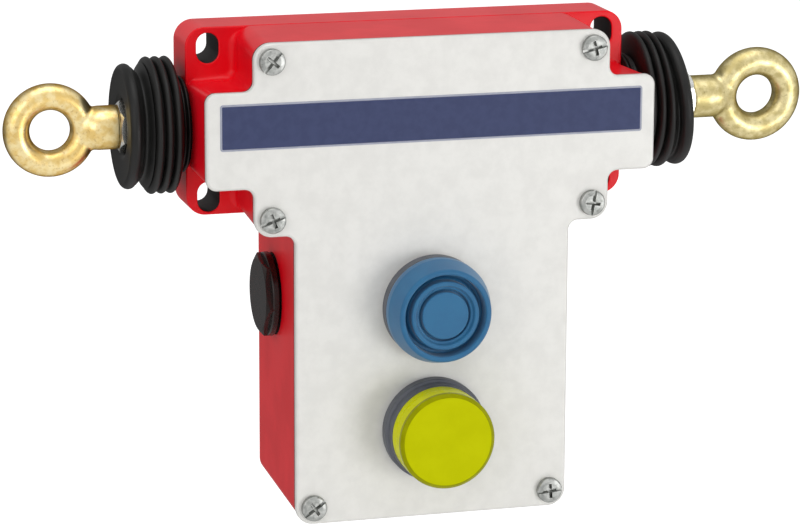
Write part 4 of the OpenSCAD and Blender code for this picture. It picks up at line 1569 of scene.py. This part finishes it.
@dataclass
class PullEye:
    """A forged ring on a round shank, with a thin lock nut against the shank's end."""

    side: Side
    finish: Finish
    turn: float = 0.0
    drop: float = 0.0
    ring_r: float = 9.5 * MM
    section_r: float = 3.75 * MM
    shank_r: float = 6.25 * MM
    shank_len: float = 19.3 * MM
    nose_at: float = 13.9 * MM
    melt: float = 1.1 * MM
    voxel: float = 0.38 * MM
    nut_flats: float = 6.5 * MM
    nut_cone: float = 0.7
    nut_bore: float = 4.05 * MM
    packed_r: float = 13.35 * MM
    passes: int = 10
    probe: float = 0.01 * MM

    def distance(self, points: np.ndarray, centre: np.ndarray) -> np.ndarray:
        """Signed distance of points from the forging: ring and shank, melted together.

        Args:
            points: The points.
            centre: The ring's centre.

        Returns:
            Each point's distance, below 0 inside.
        """
        local = points - centre
        a = math.radians(self.turn)
        along = local[:, 0] * self.side.value
        across = local[:, 1] * math.cos(a) + local[:, 2] * math.sin(a)
        up = -local[:, 1] * math.sin(a) + local[:, 2] * math.cos(a)
        ring = np.hypot(np.hypot(along, up) - self.ring_r, across) - self.section_r
        s = -along
        radius = np.hypot(across, up)
        nose = np.hypot(np.minimum(s - self.nose_at, 0), radius) - self.shank_r
        soft = 0.5 * MM
        box = np.stack([nose + soft, s - self.shank_len + soft])
        shank = np.minimum(box.max(0), 0) + np.hypot(*np.maximum(box, 0)) - soft
        h = np.clip(0.5 + 0.5 * (ring - shank) / self.melt, 0, 1)
        return ring * (1 - h) + shank * h - self.melt * h * (1 - h)

    def rough(self, centre: np.ndarray) -> Mesh:
        """Points and faces of a finely remeshed rough union of ring and shank.

        Args:
            centre: The ring's centre.

        Returns:
            The points and the faces.
        """
        work = bmesh.new()
        a = math.radians(self.turn)
        ring_axis = Axis(Vector(centre), Vector((0, math.cos(a), math.sin(a))))
        steps = [2 * math.pi * i / 24 for i in range(25)]
        ring = ring_axis.turn(
            [(self.section_r * math.sin(t), self.ring_r + self.section_r * math.cos(t)) for t in steps], 64
        )
        shank = Axis(Vector(centre), Vector((-self.side.value, 0, 0))).turn(
            [(self.ring_r - 2 * MM, 0), (self.ring_r - 2 * MM, self.section_r),
             (self.ring_r + 2 * MM, self.shank_r), (self.shank_len, self.shank_r), (self.shank_len, 0)], 48,
        )
        for points, faces in (ring, shank):
            verts = [work.verts.new(p) for p in points]
            for face in faces:
                work.faces.new([verts[i] for i in face])
        bmesh.ops.remove_doubles(work, verts=work.verts, dist=WELD)
        bmesh.ops.recalc_face_normals(work, faces=work.faces)
        mesh = bpy.data.meshes.new("rough_eye")
        work.to_mesh(mesh)
        work.free()
        made = linked("rough_eye", mesh)
        remesh = made.modifiers.new("remesh", "REMESH")
        remesh.mode, remesh.voxel_size = "VOXEL", self.voxel
        bake(made)
        points = np.array([v.co for v in made.data.vertices], float)
        faces = [tuple(p.vertices) for p in made.data.polygons]
        bpy.data.objects.remove(made)
        return points, faces

    def build(self) -> None:
        """Draws the rough mesh's points onto the forging's surface, and adds the nut."""
        low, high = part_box(f"{self.side.word}_eye")
        sign = self.side.value
        outer = high.x if sign > 0 else low.x
        y, z = (low.y + high.y) / 2, (low.z + high.z) / 2 - self.drop
        centre = np.array((outer - sign * self.packed_r, y, z))
        points, faces = self.rough(centre)
        step = self.probe
        for _ in range(self.passes):
            value = self.distance(points, centre)
            ahead = [self.distance(points + step * e, centre) for e in np.eye(3)]
            behind = [self.distance(points - step * e, centre) for e in np.eye(3)]
            slope = (np.stack(ahead, axis=1) - np.stack(behind, axis=1)) / (2 * step)
            size = np.maximum((slope**2).sum(1), 0.2)
            points -= 0.8 * slope * (value / size)[:, None]
        piece = new_object(f"{self.side.word}_eye_forging", points, faces, self.finish)
        place_piece(piece, f"{self.side.word}_eye_body", self.finish, f"{self.side.word}_eye")
        self.nut(sign, abs(centre[0]) - self.shank_len)

    def nut(self, sign: int, far: float) -> None:
        """The thin hexagon nut, turned to a cone on both faces, against the shank at far.

        Args:
            sign: 1 on the right side, -1 on the left.
            far: Distance of the shank's end from the middle.
        """
        node = f"{self.side.word}_lock_nut"
        low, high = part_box(node)
        near = low.x if sign > 0 else -high.x
        axis = Axis(Vector((0, (low.y + high.y) / 2, (low.z + high.z) / 2 - self.drop)), Vector((sign, 0, 0)))
        hexagon = prism(6, self.nut_flats, self.nut_cone, near, far, self.nut_bore)
        made = new_object(f"{self.side.word}_nut", *hexagon(axis), BRIGHT_ZINC)
        crisp(made, 20)
        place_piece(made, f"{self.side.word}_eye_body", BRIGHT_ZINC, node)


@dataclass
class BlankingPlug:
    """A moulded plug in a side entry: round flange, hexagon head and a plain shank."""

    side: Side
    flange_r: float = 12.2 * MM
    flats: float = 10.5 * MM
    shank_r: float = 9.15 * MM
    phase: float = 20.0
    drawn_in: float = 0.7 * MM
    proud: float = 1.0 * MM
    seat_at: float = 7.5 * MM
    head_cone: float = 0.45

    def build(self) -> None:
        """Builds flange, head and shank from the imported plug's box."""
        node = f"{self.side.word}_blanking_plug"
        low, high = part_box(node)
        sign = self.side.value
        near, far = (low.x, high.x) if sign > 0 else (-high.x, -low.x)
        seat = near + self.seat_at + self.proud
        axis = Axis(Vector((0, (low.y + high.y) / 2, (low.z + high.z) / 2)), Vector((sign, 0, 0)))
        r = self.flange_r
        flange = rounded(
            [(near, 0, 0), (near, self.shank_r, 0.4 * MM), (seat, self.shank_r, 0), (seat, r, 0.2 * MM),
             (seat + 1.9 * MM, r - 0.15 * MM, 0.5 * MM), (seat + 1.95 * MM, 0, 0)]
        )
        base = new_object(node + "_body", *axis.turn(flange, 128), PLUG_NYLON)
        hexagon = prism(6, self.flats, self.head_cone, seat + 0.4 * MM, far - self.drawn_in, 0.0, self.phase)
        head = new_object("head", *hexagon(axis), PLUG_NYLON)
        combine(base, [head], "UNION")
        crisp(base, 24)
        place_piece(base, "body", PLUG_NYLON, node)


def turned_piece(
    name: str, axis: Axis, outline: Sequence[Point], finish: Finish, body: str, *nodes: str
) -> None:
    """Turns one outline into a piece with sharp steps, and puts it on its body.

    Args:
        name: The piece's name.
        axis: The axis that it is turned about.
        outline: Distance along the axis and radius of each point.
        finish: What the piece is finished in.
        body: The CAD body that carries it.
        nodes: CAD nodes that it replaces.
    """
    made = new_object(name, *axis.turn(outline, HEAD_SECTORS), finish)
    made.data.set_sharp_from_angle(angle=math.radians(STEP_ANGLE))
    place_piece(made, body, finish, *nodes)


@dataclass
class ResetHead:
    """The booted reset button: a rubber skirt, a thin fold and a pad that sinks."""

    reach: float = 12.9 * MM
    pad_sunk: float = 0.5

    def build(self, cover_front: float) -> None:
        """Builds the skirt on the body, the pad on the button and the fold between them.

        Args:
            cover_front: Depth of the cover's face, from which the outlines' distances count.
        """
        low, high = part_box("reset_boot")
        centre = Vector((0, cover_front, (low.z + high.z) / 2))
        axis = Axis(centre, Vector((0, -1, 0)))
        top = self.reach
        t = top / MM
        skirt = rounded(mm(
            (3.6, 12.4, 0), (3.6, 14.8, 0.3), (4.5, 15, 0.6), (6.4, 14.95, 1.5), (t, 13.2, 0.85),
            (t, 11.75, 0.45), (t - 4.0, 11.5, 0.3), (t - 4.1, 10.4, 0.2), (t - 5.4, 10.4, 0),
            (t - 5.4, 11.4, 0), (3.6, 12.4, 0),
        ))
        turned_piece("reset_boot_skirt", axis, skirt, BLUE_SILICONE, "body", "reset_boot")
        p = t - self.pad_sunk
        pad = rounded(mm(
            (t - 5.4, 0, 0), (t - 5.4, 9.4, 0.2), (t - 4.6, 9.95, 0.3), (p, 9.8, 0.4), (p, 8.6, 0.35),
            (p - 0.9, 8.2, 0.3), (p - 1.0, 7.5, 0.3), (p - 2.2, 7.3, 0.15), (p - 2.2, 6.8, 0.15),
            (p - 0.1, 6.7, 0.3), (p - 0.1, 0, 0),
        ))
        turned_piece("reset_boot_pad", axis, pad, BLUE_SILICONE, "reset", "reset_cap")
        made = new_object("reset_boot_fold", *axis.turn(self.fold(t), 96), BLUE_SILICONE)
        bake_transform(made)
        finish_piece(made, BLUE_SILICONE)

    def fold(self, t: float) -> list[Point]:
        """The thin fold in the groove's floor, from the skirt up to the pad.

        Args:
            t: How far the rim stands from the cover, in millimetres.

        Returns:
            The closed outline.
        """
        outer = mm((t - 4.7, 11.0), (t - 4.0, 10.75), (t - 3.4, 10.3), (t - 3.0, 9.7))
        inner = mm((t - 3.4, 9.5), (t - 3.8, 10.05), (t - 4.4, 10.45), (t - 5.0, 10.7))
        return outer + inner + outer[:1]


@dataclass
class PilotLight:
    """The pilot light: a two-step collar and a screw-on lens with a grip bead."""

    reach: float = 15.7 * MM
    lens_r: float = 13.8 * MM
    collar_r: float = 14.85 * MM

    def build(self, cover_front: float) -> None:
        """Builds the collar and the lens on the pilot's axis.

        Args:
            cover_front: Depth of the cover's face, from which the outlines' distances count.
        """
        low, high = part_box("pilot_lens")
        axis = Axis(Vector((0, cover_front, (low.z + high.z) / 2)), Vector((0, -1, 0)))
        back = (cover_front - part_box("pilot_collar")[1].y) / MM
        r = self.collar_r / MM
        collar = rounded(mm(
            (back, 8.6, 0), (back, 10.95, 0.3), (0, 10.95, 0), (0, r, 0.15), (3.1, r, 0.45),
            (3.5, r - 0.8, 0.1), (6.3, r - 0.9, 0.4), (6.5, r - 2.2, 0.1), (6.5, 8.6, 0), (back, 8.6, 0),
        ))
        turned_piece("pilot_collar_rings", axis, collar, GREY_NYLON, "body", "pilot_collar")
        r, t = self.lens_r / MM, self.reach / MM
        wall = rounded(mm(
            (6.6, r - 1.6, 0), (6.6, r - 0.1, 0.3), (9.4, r - 0.1, 0.3), (9.7, r - 0.5, 0.1),
            (10.0, r, 0.3), (t - 1.9, r, 0), (t - 1.9, r - 1.6, 0), (6.6, r - 1.6, 0),
        ))
        edge = rounded(mm(
            (t - 1.9, r - 1.1, 0), (t - 1.9, r, 0), (t - 0.75, r, 0.45), (t - 0.02, r - 0.85, 0.4),
            (t - 0.02, r - 1.1, 0), (t - 1.9, r - 1.1, 0),
        ))
        face = rounded(mm((t - 1.6, 0, 0), (t - 1.6, r - 1.1, 0), (t, r - 1.1, 0.1), (t, 0, 0)))
        # The side wall carries a retuned lens colour as painted shading.
        turned_piece("pilot_lens_wall", axis, wall, LENS_WALL_SHADING, "body", "pilot_lens")
        # The edge ring is coloured a darker olive as painted shade.
        turned_piece("pilot_lens_edge", axis, edge, LENS_EDGE_SHADE, "body")
        turned_piece("pilot_lens_face", axis, face, YELLOW_LENS, "body")


def dress_nodes(frame: dict[str, Any]) -> None:
    """Gives every CAD node the finish that its slot in the record names.
    """
    by_slot = {finish.slot: finish for finish in FINISHES}
    for part in frame["record"]["subparts"]:
        made = frame["nodes"][part["node"]]
        made.data.materials.clear()
        made.data.materials.append(by_slot[part["material_slot"]].material())


def main() -> None:
    """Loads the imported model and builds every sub-assembly in order."""
    logging.basicConfig(level=logging.INFO, format="%(message)s")
    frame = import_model()
    dress_nodes(frame)
    Studio().build()
    Casting().build()
    CoverPlate().build()
    CoverScrews().build()
    NameBand().build()
    Bellows(Side.LEFT, fold_r=19.4 * MM, lip_tilt=0.5, drop=0.35 * MM).build()
    Bellows(
        Side.RIGHT, fold_r=19.9 * MM, root_r=17.6 * MM, first_fold=4.8 * MM, fold_pitch=2.9 * MM,
        valley_r=17.4 * MM, lip_at=15.4 * MM, lip_r=19.5 * MM, bead_r=1.9 * MM, lip_tilt=5.5, drop=-0.35 * MM,
    ).build()
    PullEye(Side.LEFT, YELLOW_CHROMATE, drop=0.35 * MM, shank_len=19.2 * MM).build()
    PullEye(
        Side.RIGHT, OLIVE_CHROMATE, turn=4.0, drop=-0.35 * MM, ring_r=9.9 * MM, section_r=4.1 * MM,
        shank_len=20.6 * MM,
    ).build()
    for side in Side:
        BlankingPlug(side).build()
    cover_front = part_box("cover")[0].y
    ResetHead().build(cover_front)
    PilotLight().build(cover_front)


if __name__ == "__main__":
    main()
